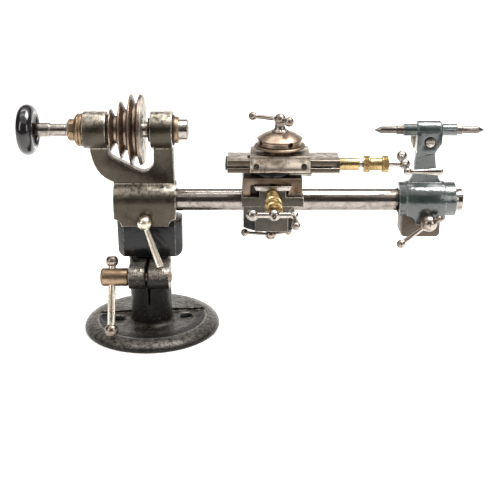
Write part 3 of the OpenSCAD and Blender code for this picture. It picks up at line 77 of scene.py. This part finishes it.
class Finish:
    """A procedural material on Object coordinates, with short calls for the nodes that it uses."""

    def __init__(self, name):
        self.material = bpy.data.materials.new(name)
        self.material.use_nodes = True
        self.tree = self.material.node_tree
        self.tree.nodes.clear()
        self.coords = self.add("ShaderNodeTexCoord").outputs["Object"]
        self.surface = self.add("ShaderNodeBsdfPrincipled")
        output = self.add("ShaderNodeOutputMaterial")
        self.join(self.surface.outputs[0], output.inputs["Surface"])

    def add(self, kind, **settings):
        node = self.tree.nodes.new(kind)
        for key, value in settings.items():
            setattr(node, key, value)
        return node

    def join(self, source, target):
        self.tree.links.new(source, target)

    def put(self, socket, value):
        """Sets a socket of the surface to a plain value, or links it to a node's output."""
        target = self.surface.inputs[socket]
        if isinstance(value, bpy.types.NodeSocket):
            self.join(value, target)
        elif isinstance(value, tuple):
            target.default_value = (*value, 1)
        else:
            target.default_value = value

    def stretched(self, scale):
        """Object coordinates scaled on each axis, so that a pattern runs along one of them."""
        mapping = self.add("ShaderNodeMapping")
        mapping.inputs["Scale"].default_value = scale
        self.join(self.coords, mapping.inputs["Vector"])
        return mapping.outputs[0]

    def noise(self, grain, detail=5, rough=0.55, warp=0.0, stretch=None):
        """Noise whose features are about grain metres across."""
        node = self.add("ShaderNodeTexNoise")
        node.inputs["Scale"].default_value = 1 / grain
        node.inputs["Detail"].default_value = detail
        node.inputs["Roughness"].default_value = rough
        node.inputs["Distortion"].default_value = warp
        self.join(self.stretched(stretch) if stretch else self.coords, node.inputs["Vector"])
        return node.outputs[0]

    def level(self, value, low, high, out_low=0.0, out_high=1.0):
        """A value between low and high spread over out_low to out_high, held at both ends."""
        node = self.add("ShaderNodeMapRange", clamp=True)
        for socket, number in (("From Min", low), ("From Max", high), ("To Min", out_low), ("To Max", out_high)):
            node.inputs[socket].default_value = number
        self.join(value, node.inputs["Value"])
        return node.outputs[0]

    def maths(self, operation, first, second=0.0):
        """The result of a Math node on one or two values or sockets."""
        node = self.add("ShaderNodeMath", operation=operation)
        for socket, value in zip(node.inputs, (first, second)):
            if isinstance(value, bpy.types.NodeSocket):
                self.join(value, socket)
            else:
                socket.default_value = value
        return node.outputs[0]

    def blend(self, share, first, second):
        """A colour that goes from first to second as share goes from 0 to 1."""
        node = self.add("ShaderNodeMix", data_type="RGBA")
        self.join(share, node.inputs[0])
        for socket, value in zip([s for s in node.inputs if s.type == "RGBA"], (first, second)):
            if isinstance(value, bpy.types.NodeSocket):
                self.join(value, socket)
            else:
                socket.default_value = (*value, 1)
        return [s for s in node.outputs if s.type == "RGBA"][0]

    def bump(self, height, depth, over=None):
        """The normal of a surface whose height varies by depth metres, laid over another normal."""
        node = self.add("ShaderNodeBump")
        node.inputs["Distance"].default_value = depth
        self.join(height, node.inputs["Height"])
        if over:
            self.join(over, node.inputs["Normal"])
        return node.outputs[0]

    def split(self, vector):
        """The X, Y and Z parts of a vector."""
        node = self.add("ShaderNodeSeparateXYZ")
        self.join(vector, node.inputs[0])
        return [node.outputs[axis] for axis in "XYZ"]

    def upward(self):
        """How far a face looks up: 1 on top, 0 on its sides."""
        return self.split(self.add("ShaderNodeTexCoord").outputs["Normal"])[2]

    def height(self):
        """Height above the bench in metres."""
        return self.split(self.coords)[2]

    def edges(self):
        """1 on the eased edges of a piece and 0 on its faces."""
        return self.add("ShaderNodeAttribute", attribute_name="edge").outputs["Fac"]


def steel(name, tint, stain, stained, rough, lay=(1, 1, 1), wear=0.5, pits=0.5, sides=None):
    """Bare steel: fine tool marks along lay, cloudy staining, dark pits and brighter edges.
    Where a tint for the sides is given, the upright faces take it, darker than the top, as painted shade."""
    f = Finish(name)
    clouds = f.noise(mm(STEEL_CLOUD), detail=7, rough=0.62, warp=0.6)
    specks = f.noise(mm(STEEL_SPECK), detail=5, rough=0.7)
    mask = f.level(f.maths("ADD", clouds, f.maths("MULTIPLY", specks, 0.35)), 0.60, 0.82, 0.0, stained)
    # Painted shade: upright faces take the darker tint given for the sides
    colour = f.blend(f.level(f.upward(), 0.3, 0.7), sides, tint) if sides else tint
    colour = f.blend(mask, colour, stain)
    pitted = f.level(specks, 0.60, 0.68, 0.0, pits)
    colour = f.blend(pitted, colour, tuple(c * 0.35 for c in stain))
    bright = f.maths("MULTIPLY", f.edges(), wear)
    f.put("Base Color", f.blend(bright, colour, tuple(min(1.0, c * 1.35) for c in tint)))
    f.put("Metallic", 1.0)
    dull = f.maths("ADD", clouds, f.maths("MULTIPLY", mask, 0.5))
    f.put("Roughness", f.level(dull, 0.35, 0.95, rough, rough + 0.2))
    marks = f.noise(mm(TOOL_MARK), detail=3, stretch=lay)
    f.put("Normal", f.bump(specks, mm(PIT_DEPTH), f.bump(marks, mm(MARK_DEPTH))))
    return f.material


def enamel(name, colour, worn, rough, dimple, dimple_depth, chips, gloss, metal=0.0,
           shine=1.5, specular=0.5, rubbed_and_lit=0.0, edged=1.0, places=None):
    """Old enamel over iron: orange-peel of dimple and dimple_depth millimetres, dull patches, and iron
    showing through at chips and on edges as far as edged says. Upper sides show bare iron too, by the amount given
    for them:
    worn iron that also serves as a painted highlight from the lamps overhead. Places is a function that returns two
    masks: where bare iron flecks make a painted highlight, and where painted shade darkens the enamel."""
    f = Finish(name)
    clouds = f.noise(mm(ENAMEL_CLOUD), detail=6, rough=0.6)
    grain = f.noise(mm(dimple), detail=3, rough=0.5)
    fine = f.noise(mm(dimple * 0.4), detail=5, rough=0.7)
    rub = f.noise(mm(RUBBED_PATCH), detail=8, rough=0.68, warp=0.4)
    edge = f.maths("MULTIPLY", f.edges(), f.level(rub, 0.40, 0.62, 0.0, edged))
    spots = f.level(fine, 0.70 - chips * 0.4, 0.76 - chips * 0.4)
    bare = f.maths("MAXIMUM", edge, f.maths("MULTIPLY", spots, f.level(rub, 0.42, 0.62)))
    # Bare iron on upper faces: rubbing wear that also serves as a painted highlight under the overhead lamps
    if rubbed_and_lit:
        tops = f.level(f.upward(), 0.3, 0.85, 0.0, rubbed_and_lit)
        bare = f.maths("MAXIMUM", bare, f.maths("MULTIPLY", tops, f.level(rub, 0.36, 0.6)))
    shade = tuple(c * 0.5 for c in colour)
    base = f.blend(f.level(clouds, 0.35, 0.7), shade, colour)
    # Where places gives masks: bare iron flecks make a painted highlight, and painted shade darkens the enamel to
    # near black and takes away its gloss and metal
    if places:
        bare_and_lit, painted_shade = places(f)
        flecks = f.maths("MAXIMUM", f.level(fine, 0.44, 0.56), f.level(rub, 0.48, 0.62))
        unshaded = f.maths("SUBTRACT", 1.0, painted_shade)
        bare = f.maths("MULTIPLY", f.maths("MAXIMUM", bare, f.maths("MULTIPLY", bare_and_lit, flecks)), unshaded)
        base = f.blend(painted_shade, base, PAINTED_SHADE_BLACK)
        gloss = f.maths("MULTIPLY", unshaded, gloss)
        metal = f.maths("MULTIPLY", unshaded, metal)
        f.put("Metallic", f.maths("MAXIMUM", f.maths("MULTIPLY", bare, 0.75), metal))
    else:
        f.put("Metallic", f.level(bare, 0.0, 1.0, metal, 0.75))
    f.put("Base Color", f.blend(bare, base, worn))
    dull = f.maths("ADD", clouds, f.maths("MULTIPLY", fine, 0.3))
    f.put("Roughness", f.level(dull, 0.4, 0.9, rough, rough + 0.2))
    f.put("Coat Weight", gloss)
    f.put("Coat Roughness", COAT_ROUGHNESS)
    f.put("Coat IOR", shine)
    f.put("Specular IOR Level", specular)
    skin = f.bump(fine, mm(dimple_depth * 0.2), f.bump(grain, mm(dimple_depth)))
    f.put("Normal", skin)
    f.put("Coat Normal", skin)
    return f.material


def foot_places(f):
    """Bare iron flecks on the front lip of the foot's recess and on top of the lugs make a painted highlight.
    Near-black painted shade lies in the recess behind the lip, in the bolt holes, in the slit and on the column."""
    x, y, z = f.split(f.coords)

    def from_axis(at_x, at_y):
        """Distance from an upright axis."""
        squares = [f.maths("MULTIPLY", side, side) for side in
                   (f.maths("SUBTRACT", x, at_x), f.maths("SUBTRACT", y, at_y))]
        return f.maths("SQRT", f.maths("ADD", *squares))

    def fades(value, full, none, most=1.0):
        """A mask that goes from most to 0 as a value goes from full to none, in millimetres."""
        return f.level(value, mm(none), mm(full), 0.0, most)

    def overlap(mask, *others):
        for other in others:
            mask = f.maths("MULTIPLY", mask, other)
        return mask

    radius = from_axis(0.0, 0.0)
    plate = fades(z, 10, 12)
    front = fades(y, 7, 9)
    # Painted highlight: bright bare iron flecks along the front lip of the recess and on the lugs' upper faces
    lip = overlap(plate, front, fades(radius, RECESS_R, RECESS_R - 0.3),
                  fades(radius, RECESS_R + LIP_W, RECESS_R + LIP_W + 0.7))
    lugs = overlap(fades(y, -17.5, -16), fades(z, 51, 47), f.level(f.upward(), 0.1, 0.55))
    # Painted shade: inside the recess behind the lip, in the bolt holes, on the column and in the slit
    painted_shade = overlap(plate, front, fades(radius, RECESS_R - 4.9, RECESS_R - 9.9, 0.9),
                   fades(radius, RECESS_R - 0.3, RECESS_R))
    for side in (-BOLT_X, BOLT_X):
        hole_x = mm(side * cos(FOOT_TURN) - BOLT_Y * sin(FOOT_TURN))
        hole_y = mm(side * sin(FOOT_TURN) + BOLT_Y * cos(FOOT_TURN))
        hole = overlap(plate, fades(from_axis(hole_x, hole_y), SINK_R - 0.8, SINK_R))
        painted_shade = f.maths("MAXIMUM", painted_shade, hole)
    column = overlap(fades(radius, COLUMN_R, COLUMN_R + 0.6, 0.85), fades(z, 22, 13))
    slit = overlap(fades(f.maths("ABSOLUTE", x), SLIT_HALF, SLIT_HALF + 0.6), fades(z, 22, 18))
    return f.maths("MAXIMUM", lip, lugs), f.maths("MAXIMUM", painted_shade, f.maths("MAXIMUM", column, slit))


ALONG_X = (1, 0.02, 0.02)
ALONG_Y = (0.02, 1, 0.02)
GROUND_ACROSS = (0.06, 1, 1)
IRON_BLACK, IRON_WORN = (0.018, 0.017, 0.014), (0.40, 0.36, 0.31)
FINISHES = {
    "bright_steel": steel("polished steel", (0.46, 0.42, 0.38), (0.10, 0.065, 0.045), 0.7, 0.17),
    "turned_x": steel("turned steel along the bed", (0.40, 0.365, 0.33), (0.10, 0.07, 0.05), 0.75, 0.14, ALONG_X),
    "bar_steel": steel("ground bar", (0.33, 0.301, 0.276), (0.13, 0.097, 0.073), 0.6, 0.11, (0.03, 1, 1), pits=0.25),
    "pale_steel": steel("greyed straw steel", (0.85, 0.78, 0.66), (0.26, 0.19, 0.12), 0.45, 0.24, pits=0.35),
    "dull_steel": steel("browned handle steel", (0.38, 0.33, 0.285), (0.09, 0.058, 0.038), 0.75, 0.2),
    "grey_steel": steel("darkened runner steel", (0.20, 0.178, 0.16), (0.07, 0.05, 0.035), 0.6, 0.15),
    "slide_steel": steel("ground slide steel", (0.46, 0.40, 0.335), (0.09, 0.06, 0.035), 0.85, 0.28, GROUND_ACROSS),
    # The way's upright faces are painted shade, darker than its top
    "way_steel": steel("dark sided way steel", (0.44, 0.385, 0.32), (0.09, 0.06, 0.035), 0.85, 0.28, GROUND_ACROSS,
                       sides=(0.095, 0.079, 0.062)),
    "disc_steel": steel("coppery clamp steel", (0.36, 0.275, 0.21), (0.13, 0.08, 0.05), 0.7, 0.27),
    "brown_steel": steel("brown stained steel", (0.22, 0.165, 0.12), (0.075, 0.045, 0.025), 0.85, 0.36),
    "pulley_steel": steel("brown turned pulley", (0.30, 0.235, 0.19), (0.10, 0.065, 0.045), 0.6, 0.24, ALONG_X),
    "dark_steel": steel("darkened steel", (0.07, 0.062, 0.055), (0.03, 0.025, 0.02), 0.6, 0.38),
    "bronze": steel("dull bronze", (0.33, 0.235, 0.15), (0.11, 0.07, 0.04), 0.7, 0.27, ALONG_X),
    "brass": steel("bright brass", (0.50, 0.365, 0.18), (0.20, 0.13, 0.055), 0.7, 0.2, ALONG_X),
    "brass_y": steel("bright brass across the bed", (0.38, 0.27, 0.12), (0.17, 0.105, 0.045), 0.65, 0.24, ALONG_Y),
    "aged_grey": enamel("aged grey iron", (0.084, 0.070, 0.050), (0.56, 0.50, 0.41), 0.22, 2.2, 0.12,
                        chips=0.1, gloss=0.12, metal=0.8, rubbed_and_lit=0.95),
    "saddle_green": enamel("saddle enamel", (0.076, 0.066, 0.048), (0.42, 0.38, 0.32), 0.3, 2.0, 0.10,
                           chips=0.12, gloss=0.12, metal=0.6, rubbed_and_lit=0.3),
    "green_enamel": enamel("dimpled green enamel", (0.024, 0.038, 0.035), (0.50, 0.52, 0.50), 0.25, 2.6, 0.22,
                           chips=0.02, gloss=1.0, shine=1.8, specular=0.3, edged=0.3),
    "cast_black": enamel("grainy black iron", IRON_BLACK, IRON_WORN, 0.24, 2.3, 0.7,
                         chips=0.24, gloss=0.2, metal=0.6, specular=0.2, rubbed_and_lit=0.38),
    "foot_iron": enamel("black iron of the foot", IRON_BLACK, IRON_WORN, 0.24, 2.3, 0.7,
                        chips=0.24, gloss=0.2, metal=0.6, specular=0.2, rubbed_and_lit=0.38, places=foot_places),
    "black_enamel": enamel("glossy black enamel", (0.005, 0.005, 0.006), (0.42, 0.39, 0.36), 0.25, 3.4, 0.22,
                           chips=0.0, gloss=0.55, specular=0.1, edged=0.3),
    "rough_brown": enamel("rough brown iron", (0.12, 0.085, 0.06), (0.40, 0.33, 0.26), 0.5, 1.2, 0.2,
                          chips=0.12, gloss=0.2, metal=0.3),
    "black_gloss": enamel("polished hard rubber", (0.010, 0.010, 0.012), (0.03, 0.03, 0.03), 0.08, 6.0, 0.01,
                          chips=-0.2, gloss=0.6),
}


# Turned pieces

def facing(at, along):
    """Moves the origin to at, in millimetres, and turns the X axis to point along."""
    return Matrix.Translation(mm(*at)) @ Vector(along).to_track_quat("X", "Z").to_matrix().to_4x4()


def rounded(bm, ease):
    """Rounds the corners of a bmesh that is only an outline."""
    corners = []
    for vert in bm.verts:
        if len(vert.link_edges) == 2 and vert.co.y > 1e-6:
            first, second = (e.other_vert(vert).co - vert.co for e in vert.link_edges)
            if first.angle(second) < radians(158):
                corners.append(vert)
    bmesh.ops.bevel(bm, geom=corners, offset=mm(ease), segments=3, profile=0.5,
                    affect="VERTICES", clamp_overlap=True, material=-1)


def lathe(bm, outline, place, ease=0.15, steps=96, closed=False):
    """Adds a turned form to bm. The outline gives (place along the axis, radius) in millimetres."""
    part = bmesh.new()
    verts = [part.verts.new((mm(x), mm(r), 0)) for x, r in outline]
    for a, b in zip(verts, verts[1:] + verts[:1] if closed else verts[1:]):
        part.edges.new((a, b))
    rounded(part, ease)
    bmesh.ops.spin(part, geom=part.verts[:] + part.edges[:], cent=(0, 0, 0), axis=(1, 0, 0), dvec=(0, 0, 0),
                   angle=2 * pi, steps=steps, use_merge=True, use_duplicate=False)
    bmesh.ops.remove_doubles(part, verts=part.verts, dist=1e-7)
    bmesh.ops.recalc_face_normals(part, faces=part.faces)
    bmesh.ops.transform(part, matrix=place, verts=part.verts)
    mesh = bpy.data.meshes.new("part")
    part.to_mesh(mesh)
    part.free()
    bm.from_mesh(mesh)
    bpy.data.meshes.remove(mesh)


def knurl(bm, start, end, r, place, around=72, rows=9, depth=0.32):
    """Adds a band of small pyramids round a turned piece, from start to end in millimetres."""
    rings = []
    for row in range(rows + 1):
        x = start + (end - start) * row / rows
        tips = [(row + i) % 2 == 0 and 0 < row < rows for i in range(around)]
        rings.append([bm.verts.new(place @ mm(x, (r - depth * (not tip)) * cos(2 * pi * i / around),
                                              (r - depth * (not tip)) * sin(2 * pi * i / around)))
                      for i, tip in enumerate(tips)])
    for row, (low, high) in enumerate(zip(rings, rings[1:])):
        for i in range(around):
            j = (i + 1) % around
            corners = (low[i], low[j], high[j], high[i])
            if (row + i) % 2 == 0:
                corners = corners[1:] + corners[:1]
            bm.faces.new((corners[0], corners[1], corners[2]))
            bm.faces.new((corners[0], corners[2], corners[3]))


def ball_bar(balls, arm, steps=26, blend=6):
    """Outline of balls on one turned arm, with fillets. Balls are (place along the arm, radius)."""
    first, last = balls[0], balls[-1]
    places = {round(at - r * cos(pi * i / steps), 5) for at, r in balls for i in range(steps + 1)}
    outline = []
    for x in sorted(places | {first[0] + (last[0] - first[0]) * i / 60 for i in range(61)}):
        sizes = [max(0.0, r * r - (x - at) ** 2) ** 0.5 for at, r in balls]
        if first[0] <= x <= last[0]:
            sizes.append(arm)
        outline.append((x, sum(v ** blend for v in sizes) ** (1 / blend)))
    outline[0], outline[-1] = (outline[0][0], 0.0), (outline[-1][0], 0.0)
    return outline


# Making pieces

def finished(name, mesh, node, finish, hides=True, smooth=32):
    """A piece that rides on a CAD node's body and, unless it is an extra, stands for that node."""
    piece = bpy.data.objects.new(name, mesh)
    bpy.context.scene.collection.objects.link(piece)
    mesh.materials.clear()
    mesh.materials.append(FINISHES[finish])
    mesh.shade_smooth()
    mesh.set_sharp_from_angle(angle=radians(smooth))
    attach(piece, BODY_OF[node])
    if hides:
        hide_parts(node)
    return piece


def mark_edges(bm, faces):
    """Notes which faces lie on an eased edge, for the finishes' wear."""
    layer = bm.faces.layers.float.get("edge") or bm.faces.layers.float.new("edge")
    for face in faces:
        face[layer] = 1.0


def eased(node, width, finish, angle=28, steps=2):
    """A copy of a CAD node with its sharp edges rounded."""
    bm = bmesh.new()
    bm.from_mesh(NODES[node].data)
    bmesh.ops.remove_doubles(bm, verts=bm.verts, dist=1e-6)
    bmesh.ops.dissolve_limit(bm, angle_limit=radians(0.6), verts=bm.verts, edges=bm.edges)
    mark_edges(bm, [])
    sharp = [e for e in bm.edges if len(e.link_faces) == 2 and e.calc_face_angle(0) > radians(angle)]
    if width:
        made = bmesh.ops.bevel(bm, geom=sharp, offset=mm(width), segments=steps, profile=0.5,
                               affect="EDGES", clamp_overlap=False, material=-1)
        mark_edges(bm, [f for f in made["faces"] if f.is_valid])
    mesh = bpy.data.meshes.new(node + "_dressed")
    bm.to_mesh(mesh)
    bm.free()
    return finished(node + "_dressed", mesh, node, finish)


def fresh(name, node, finish, draw, hides=True):
    """A new piece for a CAD node, whose bmesh draw fills."""
    bm = bmesh.new()
    draw(bm)
    bmesh.ops.remove_doubles(bm, verts=bm.verts, dist=1e-7)
    bmesh.ops.recalc_face_normals(bm, faces=bm.faces)
    mark_edges(bm, [])
    mesh = bpy.data.meshes.new(name)
    bm.to_mesh(mesh)
    bm.free()
    return finished(name, mesh, node, finish, hides)


# Width of the eased edges in millimetres, and finish, of each CAD node that keeps its shape
EASED = {
    "foot": (0.7, "foot_iron"), "foot_block": (0.5, "black_enamel"), "bed_bar": (0.15, "bar_steel"),
    "headstock": (0.6, "aged_grey"), "front_bush": (0.15, "dark_steel"), "rear_bush": (0.15, "dark_steel"),
    "spindle": (0.15, "turned_x"), "cone_pulley": (0.12, "pulley_steel"), "index_plate": (0.1, "slide_steel"),
    "pulley_screw": (0.05, "dark_steel"), "nose_ring": (0.12, "bronze"), "take_up_nut": (0.2, "bronze"),
    "lock_nut": (0.2, "bronze"), "dust_ring": (0.2, "black_enamel"), "draw_tube": (0.15, "turned_x"),
    "hand_wheel": (0, "black_gloss"), "wheel_ferrule": (0.15, "dark_steel"),
    "head_clamp_shaft": (0.2, "bright_steel"), "head_lever": (0.2, "pale_steel"),
    "pillar_screw": (0.2, "bronze"), "tommy_bar": (0.1, "pale_steel"), "tommy_balls": (0.1, "dull_steel"),
    "saddle": (0.45, "saddle_green"), "saddle_shoe": (0.4, "cast_black"), "cross_way": (0.2, "bright_steel"),
    "saddle_screw": (0.1, "bright_steel"), "saddle_handle": (0.35, "dull_steel"),
    "cross_screw": (0.1, "bright_steel"), "cross_grip": (0.1, "bright_steel"),
    "cross_slide": (0.3, "brown_steel"), "cross_gib": (0.1, "dark_steel"),
    # The swivel disc takes black enamel as painted shade for the shadowed gap under the top slide
    "cross_nut": (0.1, "brass_y"), "swivel_disc": (0.2, "black_enamel"), "top_bed": (0.3, "way_steel"),
    "bed_end_plate": (0.2, "dark_steel"), "swivel_clamp": (0.2, "bright_steel"), "top_sleeve": (0.15, "brass"),
    "carriage": (0.35, "slide_steel"), "carriage_gib": (0.1, "dark_steel"), "gib_screws": (0.1, "dark_steel"),
    "top_nut": (0.1, "brass"), "clamp_ring": (0.2, "brown_steel"), "clamp_stud": (0.1, "bright_steel"),
    "top_screw": (0.1, "turned_x"), "top_grip": (0.1, "turned_x"), "clamp_disc": (0.2, "disc_steel"),
    "clamp_handle": (0.4, "dull_steel"),
    "tailstock": (0.55, "green_enamel"), "tail_shoe": (0.5, "rough_brown"), "tail_runner": (0.12, "grey_steel"),
    "tail_lock_screw": (0.15, "bright_steel"), "tail_lock_lever": (0.3, "slide_steel"),
    "tail_clamp_shaft": (0.15, "bright_steel"), "tail_lever": (0.45, "dull_steel"),
}
for node, (width, finish) in EASED.items():
    eased(node, width, finish)


# Feed screws: knurled dials, ringed sleeve, ball cranks

DIAL_LEN, DIAL_BAND, DIAL_R, KNURL_R, SCREW_R = 18.2, 4.8, 4.7, 6.1, 2.0
CRANK_ARM, CRANK_BALLS = 1.9, [(-14.6, 4.0), (0, 3.9), (13.6, 2.8)]


def on_screw(dial_node, along, node, share):
    """Matrix whose X axis is a feed screw's axis, at a share of a node's length along it."""
    low, high = (Vector(v) * 1000 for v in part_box(dial_node))
    at = (low + high) / 2
    low, high = (Vector(v) * 1000 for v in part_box(node))
    if along[0]:
        at.x = low.x + (high.x - low.x) * share
    else:
        at.y = high.y + (low.y - high.y) * share
    return facing(at, along)


def dial(bm, place):
    """A dial with two knurled bands, turned about place's X axis from 0."""
    b, n = DIAL_BAND, DIAL_LEN
    k = KNURL_R - 0.34
    lathe(bm, [(0, SCREW_R), (0, k - 0.5), (0.35, k), (b - 0.35, k), (b, k - 0.5), (b, DIAL_R + 0.4),
               (b + 0.4, DIAL_R), (1.9 * b, DIAL_R), (1.9 * b, DIAL_R - 0.3), (2 * b, DIAL_R - 0.3),
               (2 * b, DIAL_R), (n - b - 0.4, DIAL_R), (n - b, DIAL_R + 0.4), (n - b, k - 0.4),
               (n - b + 0.35, k + 0.1), (n - 0.35, k + 0.1), (n, k - 0.4), (n, SCREW_R)],
          place, ease=0.1, closed=True)
    knurl(bm, 0.35, b - 0.35, KNURL_R, place)
    knurl(bm, n - b + 0.35, n - 0.35, KNURL_R + 0.1, place)


def ringed_sleeve(bm, place):
    """The cross slide's bearing sleeve: turned rings that step down to a plain end."""
    lathe(bm, [(0, SCREW_R), (0, 4.5), (2.2, 4.5), (2.5, 3.9), (3.1, 3.9), (3.4, 4.4), (5.4, 4.4), (5.7, 3.7),
               (6.3, 3.7), (6.6, 4.2), (8.6, 4.2), (8.9, 3.5), (9.5, 3.5), (9.8, 4.0), (14.3, 4.0),
               (14.9, 3.4), (14.9, SCREW_R)], place, ease=0.12, closed=True)


def slotted(bm, place, r, proud, slot=0.35, n=20):
    """Adds a slotted screw head about place's X axis."""
    lathe(bm, [(-1, 0), (-1, r), (proud - 0.45, r), (proud - 0.45, 0)], place, ease=0.05, steps=40)
    for side in (0, pi):
        edge = asin(slot / 2 / r)
        rim = [(r * cos(a), r * sin(a)) for a in (side + edge + (pi - 2 * edge) * i / n for i in range(n + 1))]
        verts = [bm.verts.new(place @ mm(proud - 0.5, y, z)) for y, z in rim]
        face = bm.faces.new(verts)
        top = bmesh.ops.extrude_face_region(bm, geom=[face])["geom"]
        moved = [v for v in top if isinstance(v, bmesh.types.BMVert)]
        bmesh.ops.translate(bm, verts=moved, vec=place.to_3x3() @ mm(0.5, 0, 0))


for name, dial_node, along, turn, brass in (("top", "top_dial", (1, 0, 0), 188, "brass"),
                                            ("cross", "cross_dial", (0, -1, 0), 0, "brass_y")):
    fresh(name + "_dial_dressed", dial_node, brass,
          lambda bm: dial(bm, on_screw(dial_node, along, dial_node, 0)))
    hub = on_screw(dial_node, along, name + "_crank", 0.5)
    arm = hub @ Matrix.Rotation(radians(turn), 4, "X") @ Matrix.Rotation(radians(90), 4, "Z")
    fresh(name + "_crank_dressed", name + "_crank", "bright_steel",
          lambda bm: lathe(bm, ball_bar(CRANK_BALLS, CRANK_ARM), arm, ease=0, steps=72))
    screw = hub @ Matrix.Rotation(radians(turn + 35), 4, "X") @ Matrix.Translation(mm(3.75, 0, 0))
    fresh(name + "_crank_screw", name + "_crank", "dark_steel", lambda bm: slotted(bm, screw, 1.5, 0.15), False)
fresh("cross_sleeve_dressed", "cross_sleeve", "brass_y",
      lambda bm: ringed_sleeve(bm, on_screw("cross_dial", (0, -1, 0), "cross_sleeve", 0)))


# Studio

# Heights in metres between which the backdrop's colour fades to dark, painted shade for a dim room, and how much the
# paper glows below
DUSK, PAPER_GLOW = (0.9, 1.3), 0.42


def stage_floor():
    """A pale floor that runs up into a backdrop behind the lathe."""
    near, far, wide, high, bend_r, steps = -1.6, 1.4, 6.0, 2.6, 0.7, 12
    bm = bmesh.new()
    start = bm.verts.new((-wide / 2, near, 0))
    end = bm.verts.new((wide / 2, near, 0))
    row = [bm.edges.new((start, end))]
    path = [Vector((0, far - near, 0))]
    for i in range(1, steps + 1):
        a, b = (i - 1) * pi / 2 / steps, i * pi / 2 / steps
        path.append(Vector((0, bend_r * (sin(b) - sin(a)), bend_r * (cos(a) - cos(b)))))
    path.append(Vector((0, 0, high)))
    for step in path:
        made = bmesh.ops.extrude_edge_only(bm, edges=row)["geom"]
        verts = [v for v in made if isinstance(v, bmesh.types.BMVert)]
        bmesh.ops.translate(bm, verts=verts, vec=step)
        row = [e for e in made if isinstance(e, bmesh.types.BMEdge) and all(v in verts for v in e.verts)]
    mesh = bpy.data.meshes.new("floor")
    bm.to_mesh(mesh)
    bm.free()
    mesh.shade_smooth()
    floor = bpy.data.objects.new("floor", mesh)
    bpy.context.scene.collection.objects.link(floor)
    f = Finish("pale paper")
    paper = f.blend(f.noise(mm(40), detail=3), (0.86, 0.85, 0.84), (0.90, 0.895, 0.885))
    # Painted shade: above these heights the paper's colour turns dark like an unlit room
    f.put("Base Color", f.blend(f.level(f.height(), *DUSK), paper, (0.20, 0.18, 0.165)))
    f.put("Roughness", 0.85)
    f.put("Emission Color", (1.0, 0.99, 0.975))
    f.put("Emission Strength", f.level(f.height(), *DUSK, PAPER_GLOW, 0.0))
    mesh.materials.append(f.material)


def lamp(name, at, aim, wide, tall, watts, tint=(1, 1, 1)):
    """A soft rectangular lamp, its places and sizes in metres."""
    data = bpy.data.lights.new(name, "AREA")
    data.shape = "RECTANGLE"
    data.size, data.size_y = wide, tall
    data.energy = watts
    data.color = tint
    light = bpy.data.objects.new(name, data)
    light.location = at
    light.rotation_euler = (Vector(aim) - Vector(at)).to_track_quat("-Z", "Y").to_euler()
    bpy.context.scene.collection.objects.link(light)


def room():
    """The dark, warm side of a room behind the camera, which polished steel mirrors."""
    world = bpy.data.worlds.new("studio")
    world.use_nodes = True
    bpy.context.scene.world = world
    back = world.node_tree.nodes["Background"]
    back.inputs["Color"].default_value = (0.30, 0.26, 0.24, 1)
    back.inputs["Strength"].default_value = 0.3


stage_floor()
room()
AIM = (0.09, 0, 0.1)
# The lamps overhead aim a hair off plumb, which settles how their long sides lie
lamp("overhead softbox", (0.09, -0.10, 1.05), (0.09, -0.1001, 0), 1.9, 1.75, 8.0)
lamp("left tubes", (-0.33, -0.10, 1.04), (-0.33, -0.1001, 0), 0.8, 0.2, 1.2)
lamp("right tubes", (0.53, 0.0, 1.04), (0.53, -0.0001, 0), 0.75, 0.5, 17)
lamp("left softbox", (-0.85, -0.75, 0.65), AIM, 0.3, 0.7, 3, (1.0, 0.985, 0.96))
lamp("right softbox", (0.95, -0.75, 0.5), AIM, 0.3, 0.5, 2)
lamp("backdrop wash", (0.1, 0.5, 1.5), (0.1, 1.9, 0.5), 1.8, 0.5, 22)
bpy.context.scene.view_settings.view_transform = "Standard"

# Camera, as it stood for the photograph
FOCAL_PIXELS, FRAME_PIXELS, SENSOR_MM = 947, 500, 36
CAMERA_AT, CAMERA_DOWN = (0.0777, -0.6879, 0.3195), 20.44
view = bpy.data.cameras.new("camera")
view.sensor_width = SENSOR_MM
view.lens = FOCAL_PIXELS / FRAME_PIXELS * SENSOR_MM
view.clip_start, view.clip_end = 0.01, 20
camera = bpy.data.objects.new("camera", view)
camera.location = CAMERA_AT
camera.rotation_euler = (radians(90 - CAMERA_DOWN), 0, 0)
bpy.context.scene.collection.objects.link(camera)
bpy.context.scene.camera = camera
